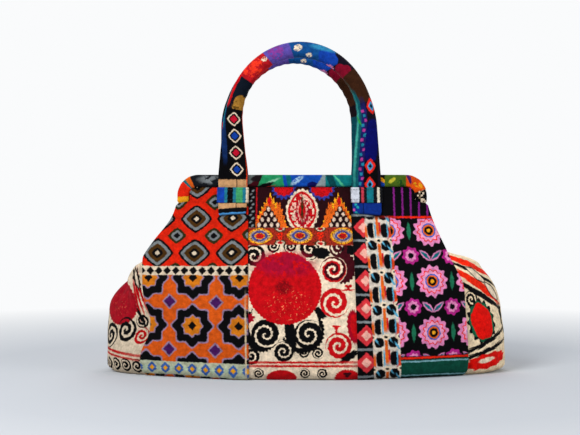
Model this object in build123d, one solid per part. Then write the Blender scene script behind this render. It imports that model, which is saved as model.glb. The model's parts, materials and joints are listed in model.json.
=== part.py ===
from build123d import *
import os
from collections import namedtuple
from math import atan, copysign, cos, degrees, hypot, radians, sin

# A carpet bag with a hinged steel frame and two rolled handles. Millimetres: X runs along the bag,
# Y from the front to the back, Z up from the floor. The origin is the middle of the footprint.

# Hinged frame: two steel bars bent to a U and wrapped in cloth, closed against each other
frame_width = 300.0
frame_top = 235.0
frame_corner_radius = 25.0
leg_length = 42.0
band_height = 14.5
band_depth = 12.0
band_edge_radius = 3.5
closing_gap = 0.8
bar_height = 9.5
bar_thickness = 3.2
bar_clearance = 0.2
bar_end_drop = 1.0

# Hinge at the foot of each pair of legs
lug_radius = 5.0
lug_thickness = 2.0
lug_spacing = 0.3
lug_neck_inset = 1.0
rivet_radius = 2.0
rivet_clearance = 0.08
rivet_head_radius = 3.8
rivet_head_thickness = 1.2
rivet_head_gap = 0.2
lug_inset = 7.0
wrap_end_clearance = 2.0

# Magnet let into the middle of each wrap's closing face
magnet_radius = 5.0
magnet_thickness = 2.0
magnet_clearance = 0.15

# Cloth body
bag_length = 482.0
bag_depth = 212.0
seam_length = 368.0
corner_depth = 126.0
panel_thickness = 2.2
seam_gap = 0.3
front_bow = 2.4
belly_height = 45.0
waist_height = 85.0
shoulder_height = 122.0
turn_height = 140.0
neck_height = 156.0
floor_edge_height = 14.0
mouth_depth = 18.4
throat_clearance = 4.0

# Lapped seams between the middle panel and the side panels
lap_half_width = 64.0
lap_allowance = 8.0
lap_gap = 0.25
lap_fall = 24.0

# Gusset ends
gusset_setback = 1.8
gusset_gap = 1.25
gusset_end_angle = 75.0
gusset_tuck = 12.0

# Lining, facing and base
lining_thickness = 1.2
lining_gap = 1.5
lining_corner = 12.0
lining_end_angle = 62.0
corner_margin = 3.0
base_end_angle = 68.0
facing_thickness = 1.5
facing_end_gap = 3.0
facing_drop = 34.0
base_cloth_thickness = 2.2
base_board_thickness = 3.0
base_board_inset = 4.0

# Handles
handle_top = 393.0
handle_half_span = 80.0
handle_shoulder_radius = 50.0
handle_shoulder_turn = 50.0
roll_width = 19.0
roll_depth = 17.0
foot_width = 34.5
foot_thickness = 4.0
foot_bottom = 187.5
foot_gap = 0.5
foot_edge_flat = 0.1
foot_narrowing = 6.0
foot_swelling = 1.2
foot_turn_drop = 6.0
front_lean = 3.0
back_lean = 7.0
core_width = 14.6
core_depth = 12.6
core_clearance = 0.2
core_start = 300.0
roll_edge_flat = 0.2

# How a leg closes from its foot to the roll: share of the leg's height, width and depth
leg_closing = ((0.3, 25.5, 9.5), (0.65, 21.5, 14.5))

# Keeper bands over the feet
keeper_width = 39.0
keeper_height = 17.5
keeper_thickness = 2.0
keeper_drop = 1.0
keeper_clearance = 0.3

# Values worked out from the sizes above
half_length = bag_length / 2
half_depth = bag_depth / 2
half_seam = seam_length / 2
half_corner = corner_depth / 2
half_frame = frame_width / 2
hinge_height = frame_top - leg_length
band_bottom = frame_top - band_height
band_inner = closing_gap / 2
band_middle = band_inner + band_depth / 2
band_outer = band_inner + band_depth
wrap_bottom = hinge_height + lug_radius + wrap_end_clearance
throat_height = hinge_height - lug_radius - throat_clearance
mouth_height = band_bottom + seam_gap
half_mouth = mouth_depth / 2
lap_rise = panel_thickness + lap_gap
lap_fall_start = lap_half_width + lap_allowance + 2 * lap_gap
base_top = base_cloth_thickness + seam_gap + base_board_thickness
lining_floor = base_top + seam_gap

# One level of the cloth body. depth is from the middle plane to the front at the centre, corner
# to the front at the corner seams, width from the centre to a corner seam, and reach from the
# centre to the gusset's middle line.
Level = namedtuple("Level", "height depth corner width reach")

# The lower edge turns under, the belly is widest near the floor, and the gusset swells out below
# the turn and tucks in above it.
levels = [
    Level(0.0, half_depth - 9.0, half_corner - 8.0, half_seam - 8.0, half_length - 12.0),
    Level(4.0, half_depth - 3.6, half_corner - 3.2, half_seam - 3.0, half_length - 5.0),
    Level(floor_edge_height, half_depth - 0.6, half_corner, half_seam, half_length - 1.0),
    Level(belly_height, half_depth, half_corner, half_seam, half_length),
    Level(waist_height, half_depth - 9.5, half_corner - 4.0, half_seam - 1.0, half_length - 6.0),
    Level(shoulder_height, half_depth - 27.0, half_corner - 14.0, half_seam, half_length - 32.0),
    Level(turn_height, half_depth - 39.0, half_corner - 22.0, half_seam - 4.0, half_seam - 5.0),
    Level(neck_height, half_depth - 52.0, half_corner - 31.0, half_seam - 12.0, half_seam - 24.0),
    Level(throat_height, half_mouth + 22.0, half_mouth + 5.5, half_frame + 4.5, half_frame - gusset_tuck),
    Level(wrap_bottom, half_mouth + 12.8, half_mouth + 2.6, half_frame, half_frame - gusset_tuck),
    Level(mouth_height, half_mouth, half_mouth - 0.2, half_frame, half_frame - gusset_tuck),
]
body_levels = [level for level in levels if level.height <= throat_height]


def rate(index, field):
    """How fast one measure of the outline changes with height at a level."""
    low = levels[max(index - 1, 0)]
    high = levels[min(index + 1, len(levels) - 1)]
    return (high[field] - low[field]) / (high.height - low.height)


def level_at(height):
    """The outline at any height, on a smooth curve through the levels."""
    index = 0
    while index < len(levels) - 2 and levels[index + 1].height <= height:
        index += 1
    low = levels[index]
    high = levels[index + 1]
    span = high.height - low.height
    t = (height - low.height) / span
    measures = [height]
    for field in range(1, len(low)):
        start = (1 + 2 * t) * (1 - t) ** 2 * low[field] + t * (1 - t) ** 2 * span * rate(index, field)
        stop = t * t * (3 - 2 * t) * high[field] + t * t * (t - 1) * span * rate(index + 1, field)
        measures.append(start + stop)
    return Level(*measures)


def front_point(level, x, inset):
    """A point of the front wall at x, moved inwards along the wall's normal."""
    bow = level.depth - level.corner
    share = abs(x) / level.width
    y = -level.corner - bow * (1 - share**front_bow)
    slope = copysign(bow * front_bow * share ** (front_bow - 1) / level.width, x)
    length = hypot(1, slope)
    return (x - inset * slope / length, y + inset / length)


def lap_height(x):
    """How far a side panel stands out at x: over the middle panel, then falling back to the wall."""
    share = (abs(x) - lap_fall_start) / lap_fall
    share = min(1, max(0, share))
    return lap_rise * (1 - share * share * (3 - 2 * share))


def gusset_start(level):
    """Where the gusset leaves the back of the front wall: the point's x and its distance from Y=0."""
    x = level.width - gusset_setback
    wall = -front_point(level, x, panel_thickness + gusset_gap)[1]
    bulge = level.reach - x
    turn = radians(gusset_end_angle)
    along = bulge * sin(turn) / (1 - cos(turn))
    across = wall / sin(turn) * cos(turn)
    towards_wall = max(0, -along / hypot(along, across))
    return x, wall - panel_thickness * towards_wall


def gusset_point(level, turn, inset):
    """A point of the right gusset. turn runs from minus the end angle at the front to plus at the back."""
    x, y = gusset_start(level)
    end = radians(gusset_end_angle)
    turn = radians(turn)
    bulge = (level.reach - x) / (1 - cos(end))
    sweep_depth = y / sin(end)
    along = -bulge * sin(turn)
    across = sweep_depth * cos(turn)
    length = hypot(along, across)
    return (
        x + bulge * (cos(turn) - cos(end)) - inset * across / length,
        sweep_depth * sin(turn) + inset * along / length,
    )


def at_height(points, height):
    """Plan points lifted to a height."""
    return [(x, y, height) for x, y in points]


def strip(outer, inner, height):
    """A thin face between two open curves at one height."""
    outer = at_height(outer, height)
    inner = at_height(inner, height)
    edges = [
        Spline(*outer),
        Line(outer[-1], inner[-1]),
        Spline(*reversed(inner)),
        Line(inner[0], outer[0]),
    ]
    return Face(Wire(edges))


def spaced(start, stop, count):
    """Evenly spaced values from start to stop."""
    return [start + (stop - start) * i / (count - 1) for i in range(count)]


def band_path(y, bottom):
    """The U that the middle of a frame half follows, from one leg's lower end to the other's."""
    x = half_frame - band_height / 2
    top = frame_top - band_height / 2
    radius = frame_corner_radius - band_height / 2
    return FilletPolyline((-x, y, bottom), (-x, y, top), (x, y, top), (x, y, bottom), radius=radius)


def band_sweep(y, bottom, height, depth, edge_radius):
    """A bar or sleeve of one section along the frame's U."""
    x = half_frame - band_height / 2
    plane = Plane(origin=(-x, y, bottom), z_dir=(0, 0, 1))
    if edge_radius > 0:
        section = RectangleRounded(height, depth, edge_radius)
    else:
        section = Rectangle(height, depth)
    return sweep(plane * section, path=band_path(y, bottom))


def frame_shadow():
    """The room that the frame's band takes above the cloth, through the whole depth."""
    outer = half_frame + frame_corner_radius
    inner = half_frame - band_height - seam_gap
    top = band_bottom - seam_gap
    low = wrap_bottom - seam_gap
    radius = max(1.0, frame_corner_radius - band_height)
    corners = [(-inner, 0, low), (-inner, 0, top), (inner, 0, top), (inner, 0, low)]
    mouth = FilletPolyline(*corners, radius=radius)
    around = Polyline(
        (inner, 0, low),
        (outer, 0, low),
        (outer, 0, frame_top + frame_corner_radius),
        (-outer, 0, frame_top + frame_corner_radius),
        (-outer, 0, low),
        (-inner, 0, low),
    )
    profile = Face(Wire(mouth.edges() + around.edges()))
    return extrude(profile, amount=half_depth, both=True)


def to_back(shape):
    """The same piece on the back of the bag."""
    return mirror(shape, about=Plane.XZ)


def to_left(shape):
    """The same piece on the left side of the bag."""
    return mirror(shape, about=Plane.YZ)


def middle_panel():
    """The middle of the front, with a narrow allowance under each side panel."""
    reach = lap_half_width + lap_allowance
    faces = []
    for level in levels:
        xs = spaced(-reach, reach, 7)
        outer = [front_point(level, x, 0) for x in xs]
        inner = [front_point(level, x, panel_thickness) for x in xs]
        faces.append(strip(outer, inner, level.height))
    return loft(faces) - frame_shadow()


def side_panel():
    """The right side of the front, lapped over the middle panel and running to the corner seam."""
    faces = []
    for level in levels:
        fall_end = lap_fall_start + lap_fall
        xs = [lap_half_width]
        xs += spaced(lap_fall_start, fall_end, 5)
        xs += spaced(fall_end, level.width, 5)[1:]
        outer = [front_point(level, x, -lap_height(x)) for x in xs]
        inner = [front_point(level, x, panel_thickness - lap_height(x)) for x in xs]
        faces.append(strip(outer, inner, level.height))
    return loft(faces) - frame_shadow()


def gusset():
    """The right end of the bag: swollen above the floor and tucked between the walls at the top."""
    faces = []
    for level in body_levels:
        turns = spaced(-gusset_end_angle, gusset_end_angle, 11)
        outer = [gusset_point(level, turn, 0) for turn in turns]
        inner = [gusset_point(level, turn, panel_thickness) for turn in turns]
        faces.append(strip(outer, inner, level.height))
    return loft(faces)


def lining_end_x(level, inset):
    """Where the lining's end stands at a tucked level, inside the tuck."""
    return level.reach - inset


def is_swollen(level):
    """Whether the gusset stands out past the corner seams at a level."""
    return level.reach >= gusset_start(level)[0]


def lining_wall():
    """The front of the inner bag, from its floor up to the throat."""
    near = panel_thickness + lining_gap
    faces = []
    for height in lining_heights():
        level = level_at(height)
        if is_swollen(level):
            reach = level.width - lining_corner
        else:
            reach = lining_end_x(level, near) - 2 * lining_thickness
        xs = spaced(-reach, reach, 9)
        outer = [front_point(level, x, near) for x in xs]
        inner = [front_point(level, x, near + lining_thickness) for x in xs]
        faces.append(strip(outer, inner, height))
    return loft(faces)


def lining_end():
    """The right end of the inner bag, inside the gusset and its tuck."""
    near = panel_thickness + lining_gap
    far = near + lining_thickness
    faces = []
    for height in lining_heights():
        level = level_at(height)
        if is_swollen(level):
            turns = spaced(-lining_end_angle, lining_end_angle, 7)
            outer = [gusset_point(level, turn, near) for turn in turns]
            inner = [gusset_point(level, turn, far) for turn in turns]
        else:
            x = lining_end_x(level, near)
            wall = -front_point(level, x, far)[1] - 2 * lining_thickness
            outer = [(x, y) for y in spaced(-wall, wall, 7)]
            inner = [(x - lining_thickness, y) for y in spaced(-wall, wall, 7)]
        faces.append(strip(outer, inner, height))
    return loft(faces)


def lining_heights():
    """The heights that the lining is shaped at: the body's levels above its floor."""
    start = lining_floor + lining_thickness + seam_gap
    return [start] + [level.height for level in body_levels if level.height > start]


def base_plate(bottom, thickness, inset):
    """A flat plate inside the turned lower edge of the walls."""
    level = level_at(bottom)
    near = panel_thickness + inset
    reach = level.width - corner_margin
    front = [front_point(level, x, near) for x in spaced(0, reach, 6)]
    end = [gusset_point(level, turn, near) for turn in spaced(-base_end_angle, 0, 5)]
    right = front[1:] + end[:-1]
    outline = [front[0]] + right + [end[-1]]
    outline += [(x, -y) for x, y in reversed(right)]
    outline.append((0, -front[0][1]))
    outline += [(-x, -y) for x, y in right]
    outline.append((-end[-1][0], 0))
    outline += [(-x, y) for x, y in reversed(right)]
    wire = Wire([Spline(*at_height(outline, bottom), periodic=True)])
    return extrude(Face(wire), amount=thickness, dir=(0, 0, 1))


def facing():
    """The strip that lines the front of the mouth, from the frame down to the lining."""
    reach = half_frame - band_height - facing_end_gap
    top = band_bottom - seam_gap
    bottom = band_bottom - facing_drop
    near = panel_thickness + seam_gap
    faces = []
    for level in levels:
        xs = spaced(-reach, reach, 7)
        outer = [front_point(level, x, near) for x in xs]
        inner = [front_point(level, x, near + facing_thickness) for x in xs]
        faces.append(strip(outer, inner, level.height))
    slab = Pos(0, 0, bottom) * Box(
        bag_length, bag_depth, top - bottom, align=(Align.CENTER, Align.CENTER, Align.MIN)
    )
    return (loft(faces) & slab) - frame_shadow()


def lug_start(order):
    """Where a hinge lug starts along X at the right end. The front half's lug is the inner one."""
    return half_frame - band_height / 2 - lug_inset / 2 + order * (lug_thickness + lug_spacing)


def lug(order):
    """A right hinge lug of the front half: an eye round the hinge axis and a neck up to the bar."""
    start = lug_start(order)
    bar_front = band_middle + bar_thickness / 2
    eye = Pos(start, 0, hinge_height) * Rot(0, 90, 0) * Cylinder(
        lug_radius, lug_thickness, align=(Align.CENTER, Align.CENTER, Align.MIN)
    )
    neck_bottom = hinge_height + lug_neck_inset
    neck_depth = bar_front - rivet_radius - lug_neck_inset
    neck = Pos(start, -bar_front, neck_bottom) * Box(
        lug_thickness, neck_depth, wrap_bottom - neck_bottom, align=Align.MIN
    )
    bore = Pos(start, 0, hinge_height) * Rot(0, 90, 0) * Cylinder(
        rivet_radius + rivet_clearance, 3 * lug_thickness
    )
    return eye + neck - bore


def frame_bar(inner_lug):
    """The front half's steel bar, with a lug at each leg's end."""
    bar = band_sweep(-band_middle, wrap_bottom - bar_end_drop, bar_height, bar_thickness, 0)
    right = lug(0 if inner_lug else 1)
    left = to_left(right)
    return bar + right + left


def frame_wrap():
    """The cloth sleeve round the front half's bar, with a recess for the magnet."""
    sleeve = band_sweep(-band_middle, wrap_bottom, band_height, band_depth, band_edge_radius)
    channel = band_sweep(
        -band_middle,
        wrap_bottom - bar_end_drop,
        bar_height + 2 * bar_clearance,
        bar_thickness + 2 * bar_clearance,
        0,
    )
    return sleeve - channel - magnet(magnet_clearance)


def magnet(grow):
    """The front half's magnet, or with a growth the recess that it sits in."""
    disc = Cylinder(
        magnet_radius + grow, magnet_thickness + grow, align=(Align.CENTER, Align.CENTER, Align.MIN)
    )
    return Pos(0, -band_inner, frame_top - band_height / 2) * Rot(90, 0, 0) * disc


def rivet():
    """The right hinge rivet, headed on both sides of the two lugs."""
    start = lug_start(0) - rivet_head_gap
    stop = lug_start(1) + lug_thickness + rivet_head_gap
    along = Rot(0, 90, 0)
    low = (Align.CENTER, Align.CENTER, Align.MIN)
    pin = Pos(start, 0, hinge_height) * along * Cylinder(rivet_radius, stop - start, align=low)
    head = along * Cylinder(rivet_head_radius, rivet_head_thickness, align=low)
    inner_head = Pos(start - rivet_head_thickness, 0, hinge_height) * head
    outer_head = Pos(stop, 0, hinge_height) * head
    return pin + inner_head + outer_head


def seat_line(height):
    """Where a foot's back lies at a height: its distance from Y=0 and its slant in degrees."""
    edge = foot_width / 2
    if height >= band_bottom - seam_gap:
        return band_outer + foot_gap, 0.0
    level = level_at(height)
    near_x = handle_half_span - edge
    far_x = handle_half_span + edge
    near = -front_point(level, near_x, -lap_height(near_x))[1]
    far = -front_point(level, far_x, -lap_height(far_x))[1]
    slant = degrees(atan((near - far) / foot_width))
    return (near + far) / 2 + foot_gap, slant


def seat_heights():
    """The heights where a foot's lower part is shaped, from its end up to the band."""
    return spaced(foot_bottom, band_bottom - seam_gap, 4)


def foot_section(height, width, thickness, grow):
    """The section of a right foot at a height, where it lies on the cloth or passes the band."""
    back, slant = seat_line(height)
    middle = back + thickness / 2
    radius = thickness / 2 - foot_edge_flat + grow
    plane = Plane(origin=(handle_half_span, -middle, height), z_dir=(0, 0, 1)).rotated((0, 0, slant))
    return plane * RectangleRounded(width + 2 * grow, thickness + 2 * grow, radius)


def seat_room(gap):
    """The right side panel's face as a block, grown by a gap, to cut what lies on it."""
    margin = keeper_width / 2 + corner_margin
    xs = spaced(handle_half_span - margin, handle_half_span + margin, 9)
    faces = []
    for level in levels:
        outer = [front_point(level, x, -lap_height(x) - gap) for x in xs]
        inner = [front_point(level, x, panel_thickness) for x in xs]
        faces.append(strip(outer, inner, level.height))
    return loft(faces)


def leg_plane(height, lean):
    """The plane across a leaning right leg at a height."""
    start = band_outer + foot_gap + foot_thickness / 2
    y = -start - (height - frame_top) * sin(radians(lean)) / cos(radians(lean))
    return Plane(origin=(handle_half_span, y, height), z_dir=(0, 0, 1)).rotated((lean, 0, 0))


def handle_rise():
    """How far the top of the roll's middle line stands past the ends of the straight legs."""
    turn = radians(handle_shoulder_turn)
    shoulder = handle_shoulder_radius
    crown = (handle_half_span - shoulder * (1 - cos(turn))) / cos(turn)
    return crown - (crown - shoulder) * sin(turn)


def arch_path(height, lean, start):
    """The leaning arch of a handle's roll, from a start height on the right leg to the left one."""
    turn = radians(handle_shoulder_turn)
    shoulder = handle_shoulder_radius
    rise = handle_rise()
    x = handle_half_span
    join_x = x - shoulder * (1 - cos(turn))
    join_z = shoulder * sin(turn)
    half_x = x - shoulder * (1 - cos(turn / 2))
    half_z = shoulder * sin(turn / 2)
    arcs = [
        ThreePointArc((x, 0, 0), (half_x, 0, half_z), (join_x, 0, join_z)),
        ThreePointArc((join_x, 0, join_z), (0, 0, rise), (-join_x, 0, join_z)),
        ThreePointArc((-join_x, 0, join_z), (-half_x, 0, half_z), (-x, 0, 0)),
    ]
    edges = list(arcs)
    if start < height:
        length = (height - start) / cos(radians(lean))
        edges = [Line((x, 0, -length), (x, 0, 0))] + edges + [Line((-x, 0, 0), (-x, 0, -length))]
    place = leg_plane(height, lean)
    turned = Pos(0, place.origin.Y, height) * Rot(lean, 0, 0)
    return turned * Wire(edges)


def leg_end(lean):
    """The height where the straight legs end and the arch starts."""
    return handle_top - roll_width / 2 - handle_rise() * cos(radians(lean))


def handle_cover(lean):
    """The front handle's cloth: flat sewn feet, legs that close up into a roll, and the arch."""
    top = leg_end(lean)
    feet = []
    lower = [foot_section(height, foot_width, foot_thickness, 0) for height in seat_heights()]
    narrow = foot_width - foot_narrowing
    thick = foot_thickness + foot_swelling
    crossing = [
        foot_section(band_bottom - seam_gap, foot_width, foot_thickness, 0),
        foot_section(
            frame_top - foot_turn_drop,
            foot_width - foot_narrowing / 2,
            foot_thickness + foot_swelling / 3,
            0,
        ),
        foot_section(frame_top, narrow, thick, 0),
    ]
    leg = [foot_section(frame_top, narrow, thick, 0)]
    for share, width, depth in leg_closing:
        plane = leg_plane(frame_top + share * (top - frame_top), lean)
        leg.append(plane * RectangleRounded(width, depth, depth / 2 - roll_edge_flat))
    end_plane = leg_plane(top, lean)
    end_radius = roll_depth / 2 - roll_edge_flat
    end_section = end_plane * RectangleRounded(roll_width, roll_depth, end_radius)
    leg.append(end_section)
    for run in (lower, crossing, leg):
        piece = loft([section.faces()[0] for section in run])
        feet += [piece, to_left(piece)]
    arch = sweep(end_section, path=arch_path(top, lean, top))
    cover = arch
    for piece in feet:
        cover += piece
    room = seat_room(foot_gap)
    channel = core_sweep(lean, core_clearance)
    return cover - channel - room - to_left(room)


def core_sweep(lean, grow):
    """The cord inside the roll, or with a growth the channel that it lies in."""
    top = leg_end(lean)
    plane = leg_plane(core_start - grow, lean)
    radius = core_depth / 2 - roll_edge_flat + grow
    section = RectangleRounded(core_width + 2 * grow, core_depth + 2 * grow, radius)
    return sweep(plane * section, path=arch_path(top, lean, core_start - grow))


def keeper():
    """The right keeper: a short band sewn over the foot, open where the foot passes under it."""
    top = band_bottom - keeper_drop
    bottom = top - keeper_height
    faces = []
    tunnel = []
    room = keeper_clearance
    for height in spaced(bottom, top, 3):
        back, slant = seat_line(height)
        thickness = foot_thickness + room + keeper_thickness
        middle = back - foot_gap + thickness / 2
        plane = Plane(origin=(handle_half_span, -middle, height), z_dir=(0, 0, 1))
        outline = RectangleRounded(keeper_width, thickness, keeper_thickness / 2)
        section = plane.rotated((0, 0, slant)) * outline
        faces.append(section.faces()[0])
    for height in seat_heights():
        section = foot_section(height, foot_width, foot_thickness, room)
        tunnel.append(section.faces()[0])
    return loft(faces) - loft(tunnel) - seat_room(keeper_clearance)


def save(shape, name):
    """One STEP file for one piece."""
    export_step(shape, f"parts/{name}.step")


os.makedirs("parts", exist_ok=True)

middle = middle_panel()
right_side = side_panel()
left_side = to_left(right_side)
save(middle, "front_middle_panel")
save(left_side, "front_left_panel")
save(right_side, "front_right_panel")
save(to_back(middle), "back_middle_panel")
save(to_back(left_side), "back_left_panel")
save(to_back(right_side), "back_right_panel")

right_gusset = gusset()
save(right_gusset, "right_gusset")
save(to_left(right_gusset), "left_gusset")

save(base_plate(0, base_cloth_thickness, 2 * seam_gap), "base_cloth")
save(base_plate(base_cloth_thickness + seam_gap, base_board_thickness, base_board_inset), "base_board")
save(base_plate(lining_floor, lining_thickness, lining_gap), "lining_floor")
front_lining = lining_wall()
save(front_lining, "front_lining")
save(to_back(front_lining), "back_lining")
right_lining = lining_end()
save(right_lining, "right_lining_end")
save(to_left(right_lining), "left_lining_end")

right_rivet = rivet()
save(right_rivet, "right_hinge_rivet")
save(to_left(right_rivet), "left_hinge_rivet")

save(frame_bar(True), "front_frame_bar")
save(to_back(frame_bar(False)), "back_frame_bar")
front_wrap = frame_wrap()
save(front_wrap, "front_frame_wrap")
save(to_back(front_wrap), "back_frame_wrap")
front_facing = facing()
save(front_facing, "front_facing")
save(to_back(front_facing), "back_facing")
front_magnet = magnet(0)
save(front_magnet, "front_magnet")
save(to_back(front_magnet), "back_magnet")

save(handle_cover(front_lean), "front_handle_cover")
save(core_sweep(front_lean, 0), "front_handle_core")
save(to_back(handle_cover(back_lean)), "back_handle_cover")
save(to_back(core_sweep(back_lean, 0)), "back_handle_core")

right_keeper = keeper()
left_keeper = to_left(right_keeper)
save(left_keeper, "front_left_keeper")
save(right_keeper, "front_right_keeper")
save(to_back(left_keeper), "back_left_keeper")
save(to_back(right_keeper), "back_right_keeper")
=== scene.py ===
# %% [markdown]
# A carpet bag in printed velvet. The steel frame, its hinges and the pieces' places come from the
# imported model. Everything that is cloth on the real bag is modelled again here, with the folds,
# rolled edges and print that the eye looks for, and each cloth piece stands for its plain solid.

# %% Load the frame
import json
from math import atan2, cos, pi, radians, sin, tan

import bpy
import numpy as np
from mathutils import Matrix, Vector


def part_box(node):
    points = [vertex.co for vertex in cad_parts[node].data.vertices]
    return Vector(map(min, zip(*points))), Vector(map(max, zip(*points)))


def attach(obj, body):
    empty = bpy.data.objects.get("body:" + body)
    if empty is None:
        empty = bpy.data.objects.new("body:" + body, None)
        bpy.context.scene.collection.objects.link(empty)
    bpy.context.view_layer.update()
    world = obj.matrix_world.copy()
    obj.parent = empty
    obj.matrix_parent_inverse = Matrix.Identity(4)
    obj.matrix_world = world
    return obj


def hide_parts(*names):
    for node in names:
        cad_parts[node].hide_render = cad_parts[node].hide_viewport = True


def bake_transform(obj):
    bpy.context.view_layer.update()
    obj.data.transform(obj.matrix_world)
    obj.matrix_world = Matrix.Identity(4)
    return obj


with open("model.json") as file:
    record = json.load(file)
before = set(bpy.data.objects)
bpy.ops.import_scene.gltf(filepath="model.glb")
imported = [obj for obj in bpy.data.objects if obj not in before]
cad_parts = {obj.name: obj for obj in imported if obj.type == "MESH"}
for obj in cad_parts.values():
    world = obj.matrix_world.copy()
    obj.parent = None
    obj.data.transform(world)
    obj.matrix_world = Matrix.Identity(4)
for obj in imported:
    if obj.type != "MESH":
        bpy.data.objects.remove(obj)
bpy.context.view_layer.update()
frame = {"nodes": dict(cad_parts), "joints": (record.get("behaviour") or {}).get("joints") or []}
mm = 0.001

# %% [markdown]
# Sizes that the cloth shares with the frame are read from the frame's own pieces, so that the
# cloth still fits if the bag is made larger. All shapes below are worked out in millimetres.


# %% Sizes read from the frame
def box_mm(node):
    """A node's lowest and highest corners in millimetres."""
    low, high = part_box(node)
    return np.array(low) / mm, np.array(high) / mm


wrap_low, wrap_high = box_mm("front_frame_wrap")
handle_low, handle_high = box_mm("front_handle_cover")
back_handle_top = box_mm("back_handle_cover")[1][2]
keeper_low, keeper_high = box_mm("front_right_keeper")
half_frame = wrap_high[0]
frame_top = wrap_high[2]
wrap_end = wrap_low[2]
band_outer = -wrap_low[1]
band_inner = -wrap_high[1]
band_height = 14.5
band_bottom = frame_top - band_height
hinges = {joint["name"]: joint for joint in frame["joints"]}
hinge_height = hinges["front_half_opens"]["pos_m"][2] / mm
cloth = 2.2
print("frame", half_frame * 2, "mm wide, top at", frame_top, "hinge at", hinge_height)

# %% [markdown]
# The body of the bag is a tube of cloth that changes its outline from the floor to the frame:
# full and rounded at the bottom, tucked in at the ends near the top. A few levels describe it.
# The left and right differ, because the bag has slumped a little. A smooth curve runs through the
# levels, so the walls have no kinks between them.

# %% The body's outline at each height
# Columns: height, depth at the centre, depth at the corner seams, width to the left and right
# corner seams, and how far the ends stand out past those seams in the middle.
outline = np.array([
    [0, 97.0, 55.0, 180.0, 183.0, 46.0, 50.0],
    [4, 102.4, 59.8, 184.5, 188.0, 47.5, 53.0],
    [14, 105.4, 63.0, 187.0, 190.5, 48.0, 54.0],
    [28, 106.0, 63.5, 185.5, 190.5, 50.5, 54.5],
    [45, 106.0, 63.0, 178.0, 190.0, 59.0, 56.5],
    [66, 102.0, 61.0, 176.5, 189.5, 58.5, 55.0],
    [85, 96.5, 59.0, 182.5, 189.0, 49.0, 52.0],
    [107, 86.5, 54.0, 186.5, 186.5, 27.0, 44.5],
    [122, 79.0, 49.0, 187.0, 180.0, 6.0, 39.0],
    [132, 72.5, 45.0, 187.0, 175.0, -5.0, 35.0],
    [138, 68.5, 42.0, 186.0, 172.0, -10.0, 22.0],
    [143, 64.5, 39.5, 183.0, 170.0, -13.0, -4.0],
    [156, 54.0, 32.0, 174.5, 164.5, -14.0, -12.0],
    [184, 31.2, 14.7, 155.5, 154.5, -14.0, -14.0],
    [200, 22.0, 11.8, 150.0, 150.0, -13.0, -13.0],
    [221, 9.4, 9.2, 150.0, 150.0, -12.0, -12.0],
])
DEPTH, CORNER, LEFT, RIGHT, LEFT_END, RIGHT_END = 1, 2, 3, 4, 5, 6
front_bow = 2.4


def smooth_between(heights, column):
    """Values of one column at any heights, on a smooth curve through the levels."""
    z, y = outline[:, 0], outline[:, column]
    rates = np.gradient(y, z)
    i = np.clip(np.searchsorted(z, heights, side="right") - 1, 0, len(z) - 2)
    span = z[i + 1] - z[i]
    t = np.clip((heights - z[i]) / span, 0, 1)
    low = (1 + 2 * t) * (1 - t) ** 2 * y[i] + t * (1 - t) ** 2 * span * rates[i]
    high = t * t * (3 - 2 * t) * y[i + 1] + t * t * (t - 1) * span * rates[i + 1]
    return low + high


def front_wall(x, z):
    """The y of the front wall at x and z."""
    depth = smooth_between(z, DEPTH)
    corner = smooth_between(z, CORNER)
    width = np.where(x < 0, smooth_between(z, LEFT), smooth_between(z, RIGHT))
    share = np.clip(np.abs(x) / width, 0, 1.2)
    return -corner - (depth - corner) * (1 - share**front_bow)


print("levels:", len(outline))

# %% [markdown]
# Cloth pieces are grids of points with a thickness. One function turns a grid into a closed piece:
# the outer face, an inner face one cloth thickness behind it, and a half-round rim between them,
# as the folded edge of a lined velvet has. A UV map in metres follows the cloth for the print.


# %% Turn a grid into cloth
def grid_normals(points):
    """Unit normals of a grid of points, from its neighbours in both directions."""
    up = np.gradient(points, axis=0)
    across = np.gradient(points, axis=1)
    normals = np.cross(across, up)
    return normals / np.maximum(np.linalg.norm(normals, axis=2, keepdims=True), 1e-9)


def mesh_object(name, points, faces, uv=None):
    """A mesh object from points in millimetres, its faces, and a UV for each point.

    No point goes under the floor.
    """
    mesh = bpy.data.meshes.new(name)
    points = np.array(points, float)
    points[:, 2] = np.maximum(points[:, 2], 0)
    mesh.from_pydata([tuple(p) for p in points * mm], [], faces)
    if uv is not None:
        layer = mesh.uv_layers.new(name="cloth")
        loops = np.zeros(len(mesh.loops), np.int32)
        mesh.loops.foreach_get("vertex_index", loops)
        layer.data.foreach_set("uv", (np.asarray(uv)[loops] * mm).astype(np.float32).ravel())
    mesh.shade_smooth()
    piece = bpy.data.objects.new(name, mesh)
    bpy.context.scene.collection.objects.link(piece)
    return piece


# What each piece was cut to before it was sewn: width, length and area, in metres
cut_sizes = {}


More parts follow.
